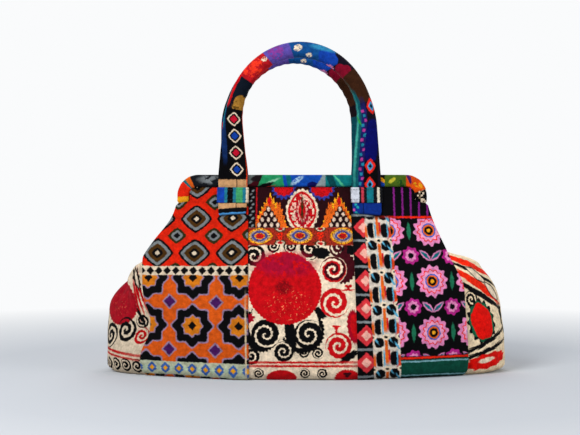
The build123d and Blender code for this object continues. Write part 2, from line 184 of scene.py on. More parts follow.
def cloth_piece(name, points, uv, thickness=cloth, rim_steps=3):
    """A closed piece of cloth from a grid of outer points, seen from outside with x to the right."""
    rows, columns, _ = points.shape
    across, along = np.diff(points, axis=1), np.diff(points, axis=0)
    cells = np.linalg.norm(np.cross(across[:-1], along[:, :-1]), axis=2).sum()
    cut_sizes[name] = (np.linalg.norm(across, axis=2).sum(axis=1).max() * mm,
                       np.linalg.norm(along, axis=2).sum(axis=0).max() * mm, cells * mm * mm)
    normals = grid_normals(points)
    inner = points - normals * thickness
    index = np.arange(rows * columns).reshape(rows, columns)
    border = np.concatenate([index[0, :-1], index[:-1, -1], index[-1, :0:-1], index[:0:-1, 0]])
    flat, flat_normals = points.reshape(-1, 3), normals.reshape(-1, 3)
    row, column = border // columns, border % columns
    inside_row = np.clip(row, 1, rows - 2)
    inside_column = np.clip(column, 1, columns - 2)
    outwards = flat[border] - points[inside_row, inside_column]
    outwards -= (outwards * flat_normals[border]).sum(axis=1, keepdims=True) * flat_normals[border]
    outwards /= np.maximum(np.linalg.norm(outwards, axis=1, keepdims=True), 1e-9)
    count = rows * columns
    all_points = [flat, inner.reshape(-1, 3)]
    all_uv = [uv.reshape(-1, 2), uv.reshape(-1, 2)]
    rims = [border]
    for step in range(1, rim_steps + 1):
        turn = pi * step / (rim_steps + 1)
        depth = thickness / 2 * (1 - cos(turn))
        reach = thickness / 2 * sin(turn)
        all_points.append(flat[border] - flat_normals[border] * depth + outwards * reach)
        all_uv.append(uv.reshape(-1, 2)[border])
        rims.append(np.arange(len(border)) + 2 * count + (step - 1) * len(border))
    rims.append(border + count)
    faces = []
    for i in range(rows - 1):
        for j in range(columns - 1):
            a, b, c, d = index[i, j], index[i, j + 1], index[i + 1, j + 1], index[i + 1, j]
            faces.append((a, b, c, d))
            faces.append((a + count, d + count, c + count, b + count))
    for near, far in zip(rims, rims[1:]):
        for k in range(len(border)):
            n = (k + 1) % len(border)
            faces.append((near[n], near[k], far[k], far[n]))
    return mesh_object(name, np.concatenate(all_points), [tuple(int(v) for v in f) for f in faces],
                       np.concatenate(all_uv))


print("cloth", cloth, "mm thick")

# %% [markdown]
# Velvet over a soft lining never lies flat. The folds are placed where the photograph shows them:
# a short pucker under the left handle, pulls that fan out from the frame's corners, a loose roll
# along the floor, and slow hollows between. Each is a push along the wall's normal.


# %% Folds of the front and back
hollow_depth, floor_roll, pull_height, pucker_depth, pucker_rim = 2.6, 1.6, 1.1, 2.2, 1.3
lap_rise, lap_flat, lap_slope = 2.45, 8.5, 24.0
fold_seeds = {"front": 4, "back": 11}


def bump(value, centre, width):
    """A smooth hill of height one around a centre."""
    return np.exp(-(((value - centre) / width) ** 2))


def waves(x, z, seed):
    """Slow uneven hollows in the cloth, from a few sums of sines."""
    random = np.random.default_rng(seed)
    total = np.zeros_like(x)
    for _ in range(7):
        length = random.uniform(45, 120)
        turn = random.uniform(0, pi)
        shift = random.uniform(0, 2 * pi)
        total += np.sin((x * cos(turn) + z * sin(turn)) * 2 * pi / length + shift)
    return total / 7


def wall_folds(x, z, seed, puckered):
    """How far the front wall is pushed out at x and z."""
    free = np.clip((hinge_height - z) / 60, 0, 1)
    push = hollow_depth * free * waves(x, z, seed)
    sag = np.clip(1 - z / 30, 0, 1) ** 2
    push += floor_roll * sag * np.sin(x / 19.0 + 0.8 * np.sin(x / 47.0)) * np.clip(z / 6, 0, 1)
    for side in (-1, 1):
        drop = np.clip((hinge_height - z) / 90, 0, 1)
        fan = np.sin((side * x - 150 + 0.55 * (hinge_height - z)) / 9.0)
        push += pull_height * fan * drop * np.exp(-drop * 2.2) * bump(side * x, 140, 34)
    if puckered:
        push -= pucker_depth * bump(x, -82.5, 3.2) * bump(z, 82, 17)
        push += pucker_rim * bump(x, -76.5, 4.0) * bump(z, 84, 20)
        push += pucker_rim * bump(x, -88.5, 4.0) * bump(z, 80, 20)
    return push


def lap_height(x, edge):
    """How far a side panel stands out over the middle one, falling back to the wall."""
    share = np.clip((np.abs(x) - edge - lap_flat) / lap_slope, 0, 1)
    return lap_rise * (1 - share * share * (3 - 2 * share))


print("folds ready")

# %% [markdown]
# The front and the back are three panels each. The middle one runs a little way under the other
# two, whose folded edges stand over it. Rows follow the height, closer together where the wall
# turns under at the floor.

# %% Front and back panels
rows_up = np.concatenate([[0, 1.2, 2.8, 5, 8, 12], np.arange(16, 219, 2.6), [219.6]])
middle_columns, side_columns, wall_columns = 61, 56, 81
lap_allowance = 7.0


def left_lap(z):
    """How far left the left panel's folded edge lies: it leans inwards towards the floor."""
    return 61.3 + 4.6 * z / frame_top


def right_lap(z):
    """How far right the right panel's folded edge lies: it leans outwards towards the floor."""
    return 63.0 - 5.0 * z / frame_top


def under_band(x, z):
    """Keeps the top of a wall inside the frame's legs: how wide the wall may be at a height."""
    room = half_frame - band_height - 0.6
    keep = np.clip((z - wrap_end - 0.2) / 1.6, 0, 1)
    keep = keep * keep * (3 - 2 * keep)
    return x * (1 - keep) + np.clip(x, -room, room) * keep


def panel_points(x, z, push):
    """Points of the front wall at a grid of x and z, pushed out along the wall's normal."""
    points = np.stack([x, front_wall(x, z), z], axis=2)
    normals = grid_normals(points)
    return points + normals * push[..., None]


def as_back(points, uv):
    """A front piece's grid on the back, with its print running the right way for someone behind."""
    points = points[:, ::-1].copy()
    uv = uv[:, ::-1].copy()
    points[..., 1] *= -1
    uv[..., 0] *= -1
    return points, uv


def middle_grid(seed, puckered):
    """The middle panel's points and UV."""
    z = rows_up[:, None] * np.ones(middle_columns)
    low = -left_lap(z) - lap_allowance
    high = right_lap(z) + lap_allowance
    x = low + (high - low) * np.linspace(0, 1, middle_columns)
    points = panel_points(x, z, wall_folds(x, z, seed, puckered))
    return points, np.stack([x, z], axis=2)


def side_grid(side, seed, puckered):
    """A side panel's points and UV, for the left (-1) or the right (1)."""
    z = rows_up[:, None] * np.ones(side_columns)
    share = np.linspace(0, 1, side_columns)
    start = right_lap(z) if side > 0 else left_lap(z)
    width = smooth_between(z, RIGHT if side > 0 else LEFT)
    x = start + (width - start) * share
    x = under_band(x, z)
    rise = lap_height(x, start)
    seam = 0.8 * bump(x, width, 5.0)
    x = side * x
    if side < 0:
        x, z, rise, seam = x[:, ::-1], z[:, ::-1], rise[:, ::-1], seam[:, ::-1]
    points = panel_points(x, z, wall_folds(x, z, seed, puckered) + rise + seam)
    return points, np.stack([x, z], axis=2)


panels = {}
for face, seed in fold_seeds.items():
    shown = face == "front"
    grids = {
        "middle": middle_grid(seed, shown),
        "left": side_grid(-1, seed, shown),
        "right": side_grid(1, seed, shown),
    }
    for place, (points, uv) in grids.items():
        if not shown:
            points, uv = as_back(points, uv)
        panels[face, place] = cloth_piece(f"{face}_{place}_cloth", points, uv)
print("panels:", len(panels))

# %% [markdown]
# Each end is one piece of cloth. Near the frame its middle folds inwards, so two soft lobes show,
# one behind each corner seam. Lower down the middle swells out past them. A valley runs between
# the lobe and the swell.

# %% Ends of the bag
end_turn = 75.0
end_columns = 72
gusset_rows = np.concatenate([
    [0, 1.2, 2.8, 5, 8, 12], np.arange(16, 100, 2.6), np.arange(100, 150, 1.5),
    np.arange(150, 184, 2.6), [184],
])
lobe_sizes = {-1: (15.0, 112), 1: (8.0, 128)}


def gusset_grid(side):
    """The points and UV of the left (-1) or right (1) end, seen from outside."""
    turns = np.radians(np.linspace(-end_turn, end_turn, end_columns))
    z = gusset_rows[:, None] * np.ones(len(turns))
    turn = np.ones(len(gusset_rows))[:, None] * turns
    width = smooth_between(z, RIGHT if side > 0 else LEFT)
    stand = smooth_between(z, RIGHT_END if side > 0 else LEFT_END)
    corner = smooth_between(z, CORNER)
    tucked = np.clip(-stand / 6, 0, 1)
    start = width - 1.8
    depth = corner - cloth - 0.9 - cloth * tucked
    end = radians(end_turn)
    swell = (np.cos(turn) - cos(end)) / (1 - cos(end))
    narrow = 1 + 0.9 * bump(z, 96, 26)
    size, height = lobe_sizes[side]
    lobe_size = size * bump(z, height, 26) * (1 - 0.6 * tucked) + 3.5 * bump(z, 60, 30)
    lobes = bump(np.abs(np.degrees(turn)), 56, 13)
    x = start + stand * swell**narrow + lobe_size * lobes
    y = depth * np.sin(turn) / sin(end)
    points = np.stack([x, y, z], axis=2)
    normals = grid_normals(points)
    free = np.clip(1 - np.abs(turn) / end, 0, 1) ** 0.5
    folds = 2.2 * waves(np.degrees(turn) * 1.1, z, 21 + side) * free
    folds -= 2.6 * bump(np.degrees(turn) * side, -20 + 12 * np.sin(z / 30), 6) * bump(z, 60, 34)
    folds -= 2.0 * bump(np.degrees(turn) * side, 24, 6) * bump(z, 92, 22)
    folds += 1.2 * np.sin(turn * 26) * bump(z, 8, 9) * np.clip(z / 4, 0, 1)
    points = points + normals * folds[..., None]
    steps = np.linalg.norm(np.diff(points, axis=1), axis=2)
    along = np.concatenate([np.zeros((len(z), 1)), np.cumsum(steps, axis=1)], axis=1)
    uv = np.stack([along, z], axis=2)
    if side < 0:
        points = points[:, ::-1].copy()
        points[..., 0] *= -1
        uv = uv[:, ::-1].copy()
        uv[..., 0] *= -1
    return points, uv


gussets = {}
for place, side in (("left", -1), ("right", 1)):
    points, uv = gusset_grid(side)
    gussets[place] = cloth_piece(f"{place}_gusset_cloth", points, uv)
print("ends:", len(gussets))

# %% [markdown]
# The lining and the facing follow the walls from inside, so they bend with them. The bottom cloth
# closes the bag under its board.


# %% Lining, facing and bottom
def inside_grid(points, uv, inset, low, high):
    """The part of a wall's grid between two heights, moved inwards."""
    heights = points[:, points.shape[1] // 2, 2]
    keep = (heights >= low) & (heights <= high)
    moved = points - grid_normals(points) * inset
    return moved[keep], uv[keep]


def whole_wall(seed, puckered, reach):
    """One grid across the whole front, as wide as the given share of the corner seams' distance."""
    z = rows_up[:, None] * np.ones(wall_columns)
    left = under_band(smooth_between(z, LEFT) * reach, z)
    right = under_band(smooth_between(z, RIGHT) * reach, z)
    x = -left + (left + right) * np.linspace(0, 1, wall_columns)
    points = panel_points(x, z, wall_folds(x, z, seed, puckered))
    return points, np.stack([x, z], axis=2)


lining_cloth, facing_cloth = 0.8, 1.2
end_margin = 9
linings, facings = {}, {}
for face, seed in fold_seeds.items():
    shown = face == "front"
    wall = whole_wall(seed, shown, 0.93)
    lining = inside_grid(*wall, cloth + 0.9, 8, 190)
    facing = inside_grid(*whole_wall(seed, shown, 0.86), cloth + 2.0, 184, 219.7)
    if not shown:
        lining, facing = as_back(*lining), as_back(*facing)
    linings[face] = cloth_piece(f"{face}_lining_cloth", *lining, thickness=lining_cloth, rim_steps=1)
    facings[face] = cloth_piece(f"{face}_facing_cloth", *facing, thickness=facing_cloth, rim_steps=1)
for place, side in (("left", -1), ("right", 1)):
    points, uv = gusset_grid(side)
    columns = slice(end_margin, -end_margin)
    lining = inside_grid(points[:, columns], uv[:, columns], cloth + 1.0, 8, 184)
    linings[place] = cloth_piece(f"{place}_lining_cloth", *lining, thickness=lining_cloth, rim_steps=1)


def floor_piece(name, height, thickness, inset):
    """A flat cloth with the bag's rounded outline, set in from it by a margin."""
    rings = np.linspace(0, 1, 26)
    around = np.linspace(0, 2 * pi, 161)[:-1]
    z = np.full_like(around, height)
    right = np.cos(around) > 0
    width = np.where(right, smooth_between(z, RIGHT), smooth_between(z, LEFT))
    stand = np.where(right, smooth_between(z, RIGHT_END), smooth_between(z, LEFT_END))
    corner = smooth_between(z, CORNER)
    corner_turn = np.arctan2(corner - inset, width)
    turn = np.abs(np.arctan2(np.sin(around), np.abs(np.cos(around))))
    at_end = turn < corner_turn
    slope = np.tan(np.minimum(turn, 1.5))
    end_share = np.clip(turn / corner_turn, 0, 1)
    end_x = width + (stand - inset) * (1 - end_share**2) - inset * end_share
    wall_x = np.clip(corner / np.maximum(slope, 1e-6), 0, width)
    for _ in range(12):
        wall_x = np.clip(-front_wall(wall_x * np.sign(np.cos(around)), z) / slope, 0, width)
    x = np.where(at_end, end_x, wall_x - inset * np.cos(turn))
    wall_y = -front_wall(x * np.sign(np.cos(around)), z) - inset
    y = np.where(at_end, end_x * np.tan(turn), wall_y)
    rim = np.stack([x * np.sign(np.cos(around)), y * np.sign(np.sin(around))], axis=1)
    points = [(0, 0, height), (0, 0, height + thickness)]
    for level in (height, height + thickness):
        for ring in rings[1:]:
            points += [(ring * a, ring * b, level) for a, b in rim]
    count, ring_count = len(around), len(rings) - 1
    faces = []
    for side in (0, 1):
        first = 2 + side * count * ring_count
        for k in range(count):
            n = (k + 1) % count
            near, far = (n, k) if side == 0 else (k, n)
            faces.append((side, first + near, first + far))
            for r in range(ring_count - 1):
                a, b = first + r * count + k, first + r * count + n
                c, d = b + count, a + count
                faces.append((a, b, c, d) if side == 0 else (d, c, b, a))
    low_rim = 2 + count * (ring_count - 1)
    high_rim = low_rim + count * ring_count
    for k in range(count):
        n = (k + 1) % count
        faces.append((low_rim + k, high_rim + k, high_rim + n, low_rim + n)[::-1])
    points = np.array(points)
    after = np.roll(rim, -1, axis=0)
    rim_area = abs((rim[:, 0] * after[:, 1] - rim[:, 1] * after[:, 0]).sum()) / 2
    cut_sizes[name] = (np.ptp(rim[:, 0]) * mm, np.ptp(rim[:, 1]) * mm, rim_area * mm * mm)
    return mesh_object(name, points, faces, points[:, :2])


base = floor_piece("bottom_cloth", 0.0, cloth, cloth + 0.6)
lining_bottom = floor_piece("lining_bottom_cloth", 6.0, 1.0, cloth + 4.0)
print("linings:", len(linings), "facings:", len(facings))

# %% [markdown]
# Bands and rolls are one section carried along a path. The section can change on the way, as the
# handles need: they start as flat feet sewn to the panels and close up into round rolls.


# %% Carry a section along a path
def unit(vectors):
    """Vectors at length one."""
    return vectors / np.maximum(np.linalg.norm(vectors, axis=-1, keepdims=True), 1e-9)


def swept_piece(name, path, outwards, section, along):
    """A closed piece along a path. section gives each ring's offsets outwards and sideways."""
    tangent = unit(np.gradient(path, axis=0))
    outwards = unit(outwards - (outwards * tangent).sum(axis=1, keepdims=True) * tangent)
    sideways = np.cross(tangent, outwards)
    rings = path[:, None] + outwards[:, None] * section[..., 0:1] + sideways[:, None] * section[..., 1:2]
    rows, columns = rings.shape[:2]
    closed = np.concatenate([section, section[:, :1]], axis=1)
    around = np.linalg.norm(np.diff(closed, axis=1), axis=2)
    around = np.concatenate([np.zeros((rows, 1)), np.cumsum(around, axis=1)], axis=1)
    around = around[:, -1:] / 2 - around
    points = np.concatenate([rings.reshape(-1, 3), path[:1], path[-1:]])
    faces, uv = [], []
    for i in range(rows - 1):
        for j in range(columns):
            n = (j + 1) % columns
            low, high = i * columns, (i + 1) * columns
            faces.append((low + j, low + n, high + n, high + j))
            uv += [(along[i], around[i, j]), (along[i], around[i, j + 1]),
                   (along[i + 1], around[i + 1, j + 1]), (along[i + 1], around[i + 1, j])]
    for j in range(columns):
        n = (j + 1) % columns
        faces.append((rows * columns, n, j))
        uv += [(along[0], 0), (along[0], around[0, j + 1]), (along[0], around[0, j])]
        last = (rows - 1) * columns
        faces.append((rows * columns + 1, last + j, last + n))
        uv += [(along[-1], 0), (along[-1], around[-1, j]), (along[-1], around[-1, j + 1])]
    piece = mesh_object(name, points, faces)
    layer = piece.data.uv_layers.new(name="cloth")
    layer.data.foreach_set("uv", (np.array(uv) * mm).astype(np.float32).ravel())
    return piece


def arc_points(centre, radius, start, stop, count):
    """Points of an arc in the XZ plane, from one angle to another in degrees."""
    turn = np.radians(np.linspace(start, stop, count))
    x, z = centre[0] + radius * np.cos(turn), centre[1] + radius * np.sin(turn)
    return np.stack([x, np.zeros(count), z], axis=1)


def evenly(points, step):
    """Points spaced evenly along a path."""
    lengths = np.concatenate([[0], np.cumsum(np.linalg.norm(np.diff(points, axis=0), axis=1))])
    count = int(round(lengths[-1] / step)) + 1
    places = np.linspace(0, lengths[-1], count)
    spaced = np.stack([np.interp(places, lengths, points[:, k]) for k in range(3)], axis=1)
    return spaced, places - lengths[-1] / 2


def rounded_section(widths, depths, power, count):
    """Rings that are nearly rectangles for a high power and ellipses for a power of two."""
    turn = 2 * pi * (np.arange(count) + 0.5) / count - pi / 2
    bend = 2 / power[:, None]
    across = np.sign(np.cos(turn)) * np.abs(np.cos(turn)) ** bend * widths[:, None] / 2
    deep = np.sign(np.sin(turn)) * np.abs(np.sin(turn)) ** bend * depths[:, None] / 2
    return np.stack([across, deep], axis=2)


# %% [markdown]
# The band is a cloth sleeve drawn tight over the steel bar: crisp along its edges, with tiny
# gathers where it turns the frame's corners.

# %% Frame band
frame_corner = 25.0
path_inset = band_height / 2
arm = half_frame - path_inset
top_line = frame_top - path_inset
turn_radius = frame_corner - path_inset
corner_x = arm - turn_radius
corner_z = top_line - turn_radius
band_line = np.concatenate([
    [(-arm, 0, wrap_end), (-arm, 0, corner_z - 1)],
    arc_points((-corner_x, corner_z), turn_radius, 180, 90, 24),
    arc_points((corner_x, corner_z), turn_radius, 90, 0, 24),
    [(arm, 0, corner_z - 1), (arm, 0, wrap_end)],
])
wraps = {}
for face, side in (("front", -1), ("back", 1)):
    line, along = evenly(band_line, 1.6)
    line[:, 1] = side * (band_inner + band_outer) / 2
    straight = np.abs(line[:, 0]) < corner_x
    leg = line[:, 2] < corner_z
    centres = np.stack([np.sign(line[:, 0]) * corner_x, line[:, 1], np.full(len(line), corner_z)], axis=1)
    outwards = line - centres
    outwards[straight] = (0, 0, 1)
    outwards[leg] = np.sign(line[leg, 0])[:, None] * np.array([1, 0, 0])
    count = len(line)
    section = rounded_section(np.full(count, band_height), np.full(count, band_outer - band_inner),
                              np.full(count, 5.0), 40)
    ends = np.clip(np.minimum(np.arange(count), np.arange(count)[::-1]) / 1.5, 0.82, 1)
    corner = bump(np.abs(along), 139, 16)
    gathers = 1 + 0.018 * corner * np.sin(along / 1.35) + 0.008 * np.sin(along / 11.0 + side)
    section *= (ends * gathers)[:, None, None]
    section[..., 0] = np.minimum(section[..., 0], band_height / 2)
    wraps[face] = swept_piece(f"{face}_frame_band", line, outwards, section, along)
print("band", round(float(along[-1] * 2)), "mm long")

# %% [markdown]
# A handle's foot lies flat on the panel. Its two long edges meet at the middle in a butt seam,
# which closes up above the frame as the leg is rolled round its cord. The seam is a shallow groove
# and the roll wrinkles a little on the inside of each bend. A cord fills the rolled part.

# %% Handles
handle_shift = -2.9
half_span = 80.0
leg_top = 293.0
closed_height = 325.0
roll = (19.0, 17.0)
foot = (34.5, 4.0)
foot_gap = 0.5
cord = (13.0, 11.5)
ring_points = 64
back_sway = -5.5
foot_end = handle_low[2]


def handle_foot_depth(x, z):
    """How far in front of Y=0 a foot's middle lies on the cloth, with its slant, at x and z."""
    reach = foot[0] / 2
    depths = []
    for edge in (abs(x) - reach, abs(x) + reach):
        start = left_lap(z) if x < 0 else right_lap(z)
        edge_x = np.full_like(z, np.sign(x) * edge)
        depths.append(-front_wall(edge_x, z) + lap_height(edge_x, start))
    near, far = depths
    return (near + far) / 2 + foot_gap + foot[1] / 2, np.arctan((near - far) / foot[0])


def handle_line(lean, top):
    """A handle's middle line, what lies outwards of it, its lengths, and how far it has closed up."""
    leaning = radians(lean)
    leg_start = band_outer + foot_gap + foot[1] / 2
    low = np.linspace(foot_end, band_bottom - 1.0, 30)
    crossing = np.linspace(band_bottom + 1.5, frame_top, 9)
    leg = np.linspace(frame_top + 2, leg_top - 1, 30)
    heights = np.concatenate([low, crossing, leg])
    legs, slants = [], []
    # Two legs: flat on the panel, over the band, then up and outwards
    for side in (-1, 1):
        lying, slant = handle_foot_depth(side * half_span, low)
        depth = np.concatenate([lying, np.full(len(crossing), leg_start),
                                leg_start + (leg - frame_top) * tan(leaning)])
        legs.append(np.stack([np.full(len(heights), side * half_span), -depth, heights], axis=1))
        levelling = np.linspace(slant[-1], 0, len(crossing))
        slants.append(np.concatenate([slant, levelling, np.zeros(len(leg))]))
    # Half an ellipse joins them
    turn = np.radians(np.linspace(180, 0, 120))
    rise = (top - roll[0] / 2 - leg_top) / cos(leaning)
    across, up = half_span * np.cos(turn), rise * np.sin(turn)
    start_y = leg_start + (leg_top - frame_top) * tan(leaning)
    arch = np.stack([across, -start_y - up * sin(leaning), leg_top + up * cos(leaning)], axis=1)
    line = np.concatenate([legs[0], arch, legs[1][::-1]])
    slant = np.concatenate([slants[0], np.zeros(len(arch)), slants[1][::-1]])
    spaced, along = evenly(line, 2.0)
    lengths = np.concatenate([[0], np.cumsum(np.linalg.norm(np.diff(line, axis=0), axis=1))])
    slant = np.interp(along - along[0], lengths, slant)
    over = (spaced[:, 2] - leg_top) / rise**2
    outwards = np.stack([spaced[:, 0] / half_span**2, np.zeros(len(spaced)), over], axis=1)
    straight = spaced[:, 2] < leg_top
    outwards[straight] = np.stack([np.sign(spaced[straight, 0]) * np.cos(slant[straight]),
                                   np.sin(slant[straight]), np.zeros(straight.sum())], axis=1)
    closed = np.clip((spaced[:, 2] - frame_top) / (closed_height - frame_top), 0, 1)
    return spaced, outwards, along, closed


def handle_piece(name, lean, top, back):
    """One handle, front or back, with its seam groove, bends and feet, and the cord in its roll."""
    line, outwards, along, closed = handle_line(lean, top)
    closing = closed * closed * (3 - 2 * closed)
    width = foot[0] + (roll[0] - foot[0]) * closed
    depth = foot[1] + (roll[1] - foot[1]) * closing
    power = 5.0 - 2.7 * closing
    section = rounded_section(width, depth, power, ring_points)
    ends = np.minimum(np.arange(len(line)), np.arange(len(line))[::-1])
    section[..., 0] *= np.where(ends < 2, 0.93 + 0.035 * ends, 1.0)[:, None]
    section[..., 1] *= np.where(ends < 2, 0.6 + 0.2 * ends, 1.0)[:, None]
    groove = np.exp(-((section[..., 0] / 1.0) ** 2)) * np.clip(1.6 - 1.9 * closed, 0, 1)[:, None]
    push = 1 - 0.30 * groove * (foot[1] / depth[:, None]) * 1.4
    bend = np.clip((line[:, 2] - leg_top) / 30, 0, 1)
    inner_side = np.clip(-section[..., 0] / (width[:, None] / 2), 0, 1) ** 2
    wrinkle = 1 + 0.030 * bend[:, None] * inner_side * np.sin(along / 1.9)[:, None]
    round_turn = np.arange(ring_points) / ring_points * 2 * pi
    soft = 1 + 0.022 * np.sin(along / 13.0 + 1.0)[:, None] * np.sin(round_turn + along[:, None] / 60)
    section[..., 1] *= push * soft
    section[..., 0] *= wrinkle * (1 + 0.012 * np.sin(along / 17.0))[:, None]
    if back:
        line[:, 1] *= -1
        outwards[:, 1] *= -1
    line[:, 0] += handle_shift + (back_sway * closing if back else 0)
    rolled = closed > 0.9
    count = rolled.sum()
    filling = rounded_section(np.full(count, cord[0]), np.full(count, cord[1]), np.full(count, 2.0), 24)
    core = swept_piece(f"{name}_cord", line[rolled], outwards[rolled], filling, along[rolled])
    return swept_piece(name, line, outwards, section, along), core, along


handles, cores = {}, {}
for face, lean, top in (("front", 3.0, handle_high[2]), ("back", 7.0, back_handle_top)):
    handles[face], cores[face], handle_along = handle_piece(f"{face}_handle", lean, top, face == "back")
print("handle", round(float(handle_along[-1] * 2)), "mm long")

# %% [markdown]
# Each foot passes under a short band, the keeper, sewn down along both its edges.

# %% Keepers
keeper_width = 38.0
keeper_cloth = 1.8
keeper_rows, keeper_columns = 16, 44
keeper_top = keeper_high[2]
keeper_bottom = keeper_low[2]


def keeper_grid(side):
    """The points and UV of a front keeper, arched over the foot."""
    heights = np.linspace(keeper_bottom + 0.4, keeper_top - 0.4, keeper_rows)
    z = heights[:, None] * np.ones(keeper_columns)
    across = np.ones(keeper_rows)[:, None] * np.linspace(-1, 1, keeper_columns)
    middle, slant = handle_foot_depth(side * half_span, z[:, 0])
    x = side * half_span + handle_shift + across * keeper_width / 2
    fall = np.clip((np.abs(across) - 0.80) / 0.20, 0, 1)
    level = across * keeper_width / 2 * np.tan(slant)[:, None] * side
    y = -(middle + foot[1] / 2 + 2.1)[:, None] + level
    y = y + 3.6 * fall**2
    edge = bump(z, keeper_bottom + 1.8, 0.9) + bump(z, keeper_top - 1.8, 0.9)
    y = y + 0.35 * edge - 0.25 * np.sin(across * 5 + side) * (1 - fall)
    points = np.stack([x, y, z], axis=2)
    return points, np.stack([across * keeper_width / 2 + side * half_span, z], axis=2)


keepers = {}
for face in ("front", "back"):
    for place, side in (("left", -1), ("right", 1)):
        points, uv = keeper_grid(side)
        if face == "back":
            points, uv = as_back(points, uv)
        keepers[face, place] = cloth_piece(f"{face}_{place}_band_loop", points, uv,
                                           thickness=keeper_cloth)
print("keepers:", len(keepers))

# %% [markdown]
# Short-pile velvet is nearly matt, with a soft pale edge where the pile is seen side-on. That edge
# is the sheen. The print is built from simple shapes laid over each other, as fields of flat
# colour with slightly ragged edges, because ink creeps along the pile. Sizes are real millimetres.


# %% Node helper and shape groups
def colour(text, alpha=1.0):
    """A linear colour from an sRGB hex value."""
    parts = [int(text[i:i + 2], 16) / 255 for i in (1, 3, 5)]
    return [p / 12.92 if p <= 0.04045 else ((p + 0.055) / 1.055) ** 2.4 for p in parts] + [alpha]


def add(tree, kind, *inputs, **settings):
    """Adds a node, sets its settings, and joins or sets its inputs in order. None leaves one alone."""
    made = tree.nodes.new(kind)
    for setting, value in settings.items():
        setattr(made, setting, value)
    for socket, value in zip(made.inputs, inputs):
        if isinstance(value, bpy.types.NodeSocket):
            tree.links.new(value, socket)
        elif value is not None:
            socket.default_value = value
    return made


def new_group(name, inputs):
    """An empty shader group with named inputs and one output called Share."""
    group = bpy.data.node_groups.new(name, "ShaderNodeTree")
    for label, socket_type, value in inputs:
        socket = group.interface.new_socket(label, in_out="INPUT", socket_type=socket_type)
        if value is not None:
            socket.default_value = value
    group.interface.new_socket("Share", in_out="OUTPUT", socket_type="NodeSocketFloat")
    return group, add(group, "NodeGroupInput").outputs


MATH, VECTOR = "ShaderNodeMath", "ShaderNodeVectorMath"
FLOAT, POINT = "NodeSocketFloat", "NodeSocketVector"
AXIS_X, AXIS_Y = (1, 0, 0), (0, 1, 0)

# A rounded shape: an ellipse, lozenge or near-rectangle by its power, with lobes round its edge
shape_group, given = new_group("printed_shape", [
    ("Place", POINT, None), ("Centre", POINT, None), ("Size", POINT, (10, 10, 1)), ("Turn", FLOAT, 0.0),
    ("Power", FLOAT, 2.0), ("Lobes", FLOAT, 0.0), ("Depth", FLOAT, 0.0), ("Edge", FLOAT, 0.4),
])
moved = add(shape_group, VECTOR, given["Place"], given["Centre"], operation="SUBTRACT").outputs[0]
turned = add(shape_group, "ShaderNodeVectorRotate", moved, None, None, given["Turn"],
             rotation_type="Z_AXIS", invert=True).outputs[0]
scaled = add(shape_group, VECTOR, turned, given["Size"], operation="DIVIDE").outputs[0]
along = add(shape_group, VECTOR, scaled, AXIS_X, operation="DOT_PRODUCT").outputs["Value"]
upward = add(shape_group, VECTOR, scaled, AXIS_Y, operation="DOT_PRODUCT").outputs["Value"]
wide = add(shape_group, MATH, along, operation="ABSOLUTE").outputs[0]
tall = add(shape_group, MATH, upward, operation="ABSOLUTE").outputs[0]
wide = add(shape_group, MATH, wide, given["Power"], operation="POWER").outputs[0]
tall = add(shape_group, MATH, tall, given["Power"], operation="POWER").outputs[0]
total = add(shape_group, MATH, wide, tall, operation="ADD").outputs[0]
root = add(shape_group, MATH, 1.0, given["Power"], operation="DIVIDE").outputs[0]
reach = add(shape_group, MATH, total, root, operation="POWER").outputs[0]
angle = add(shape_group, MATH, upward, along, operation="ARCTAN2").outputs[0]
angle = add(shape_group, MATH, angle, given["Lobes"], operation="MULTIPLY").outputs[0]
wave = add(shape_group, MATH, angle, operation="SINE").outputs[0]
limit = add(shape_group, MATH, wave, given["Depth"], 1.0, operation="MULTIPLY_ADD").outputs[0]
inside = add(shape_group, MATH, limit, reach, operation="SUBTRACT").outputs[0]
half_wide = add(shape_group, VECTOR, given["Size"], AXIS_X, operation="DOT_PRODUCT").outputs["Value"]
half_tall = add(shape_group, VECTOR, given["Size"], AXIS_Y, operation="DOT_PRODUCT").outputs["Value"]
least = add(shape_group, MATH, half_wide, half_tall, operation="MINIMUM").outputs[0]
inside = add(shape_group, MATH, inside, least, operation="MULTIPLY").outputs[0]
low_edge = add(shape_group, MATH, given["Edge"], -1.0, operation="MULTIPLY").outputs[0]
share = add(shape_group, "ShaderNodeMapRange", inside, low_edge, given["Edge"], 0.0, 1.0).outputs[0]
add(shape_group, "NodeGroupOutput", share)

# A hooked spiral with a saw edge, as on suzani embroidery
spiral_group, given = new_group("printed_spiral", [
    ("Place", POINT, None), ("Centre", POINT, None), ("Radius", FLOAT, 10.0), ("Turn", FLOAT, 0.0),
    ("Hand", FLOAT, 1.0), ("Fill", FLOAT, 0.56), ("Teeth", FLOAT, 20.0), ("Depth", FLOAT, 0.07),
    ("Edge", FLOAT, 0.35),
])
moved = add(spiral_group, VECTOR, given["Place"], given["Centre"], operation="SUBTRACT").outputs[0]
turned = add(spiral_group, "ShaderNodeVectorRotate", moved, None, None, given["Turn"],
             rotation_type="Z_AXIS", invert=True).outputs[0]
along = add(spiral_group, VECTOR, turned, AXIS_X, operation="DOT_PRODUCT").outputs["Value"]
upward = add(spiral_group, VECTOR, turned, AXIS_Y, operation="DOT_PRODUCT").outputs["Value"]
across = add(spiral_group, MATH, along, given["Hand"], operation="MULTIPLY").outputs[0]
angle = add(spiral_group, MATH, upward, across, operation="ARCTAN2").outputs[0]
share_round = add(spiral_group, MATH, angle, 1 / (2 * pi), 0.5, operation="MULTIPLY_ADD").outputs[0]
reach = add(spiral_group, VECTOR, turned, operation="LENGTH").outputs["Value"]
spiral_turns = 1.85
pitch = add(spiral_group, MATH, given["Radius"], spiral_turns, operation="DIVIDE").outputs[0]
arms = add(spiral_group, MATH, reach, pitch, operation="DIVIDE").outputs[0]
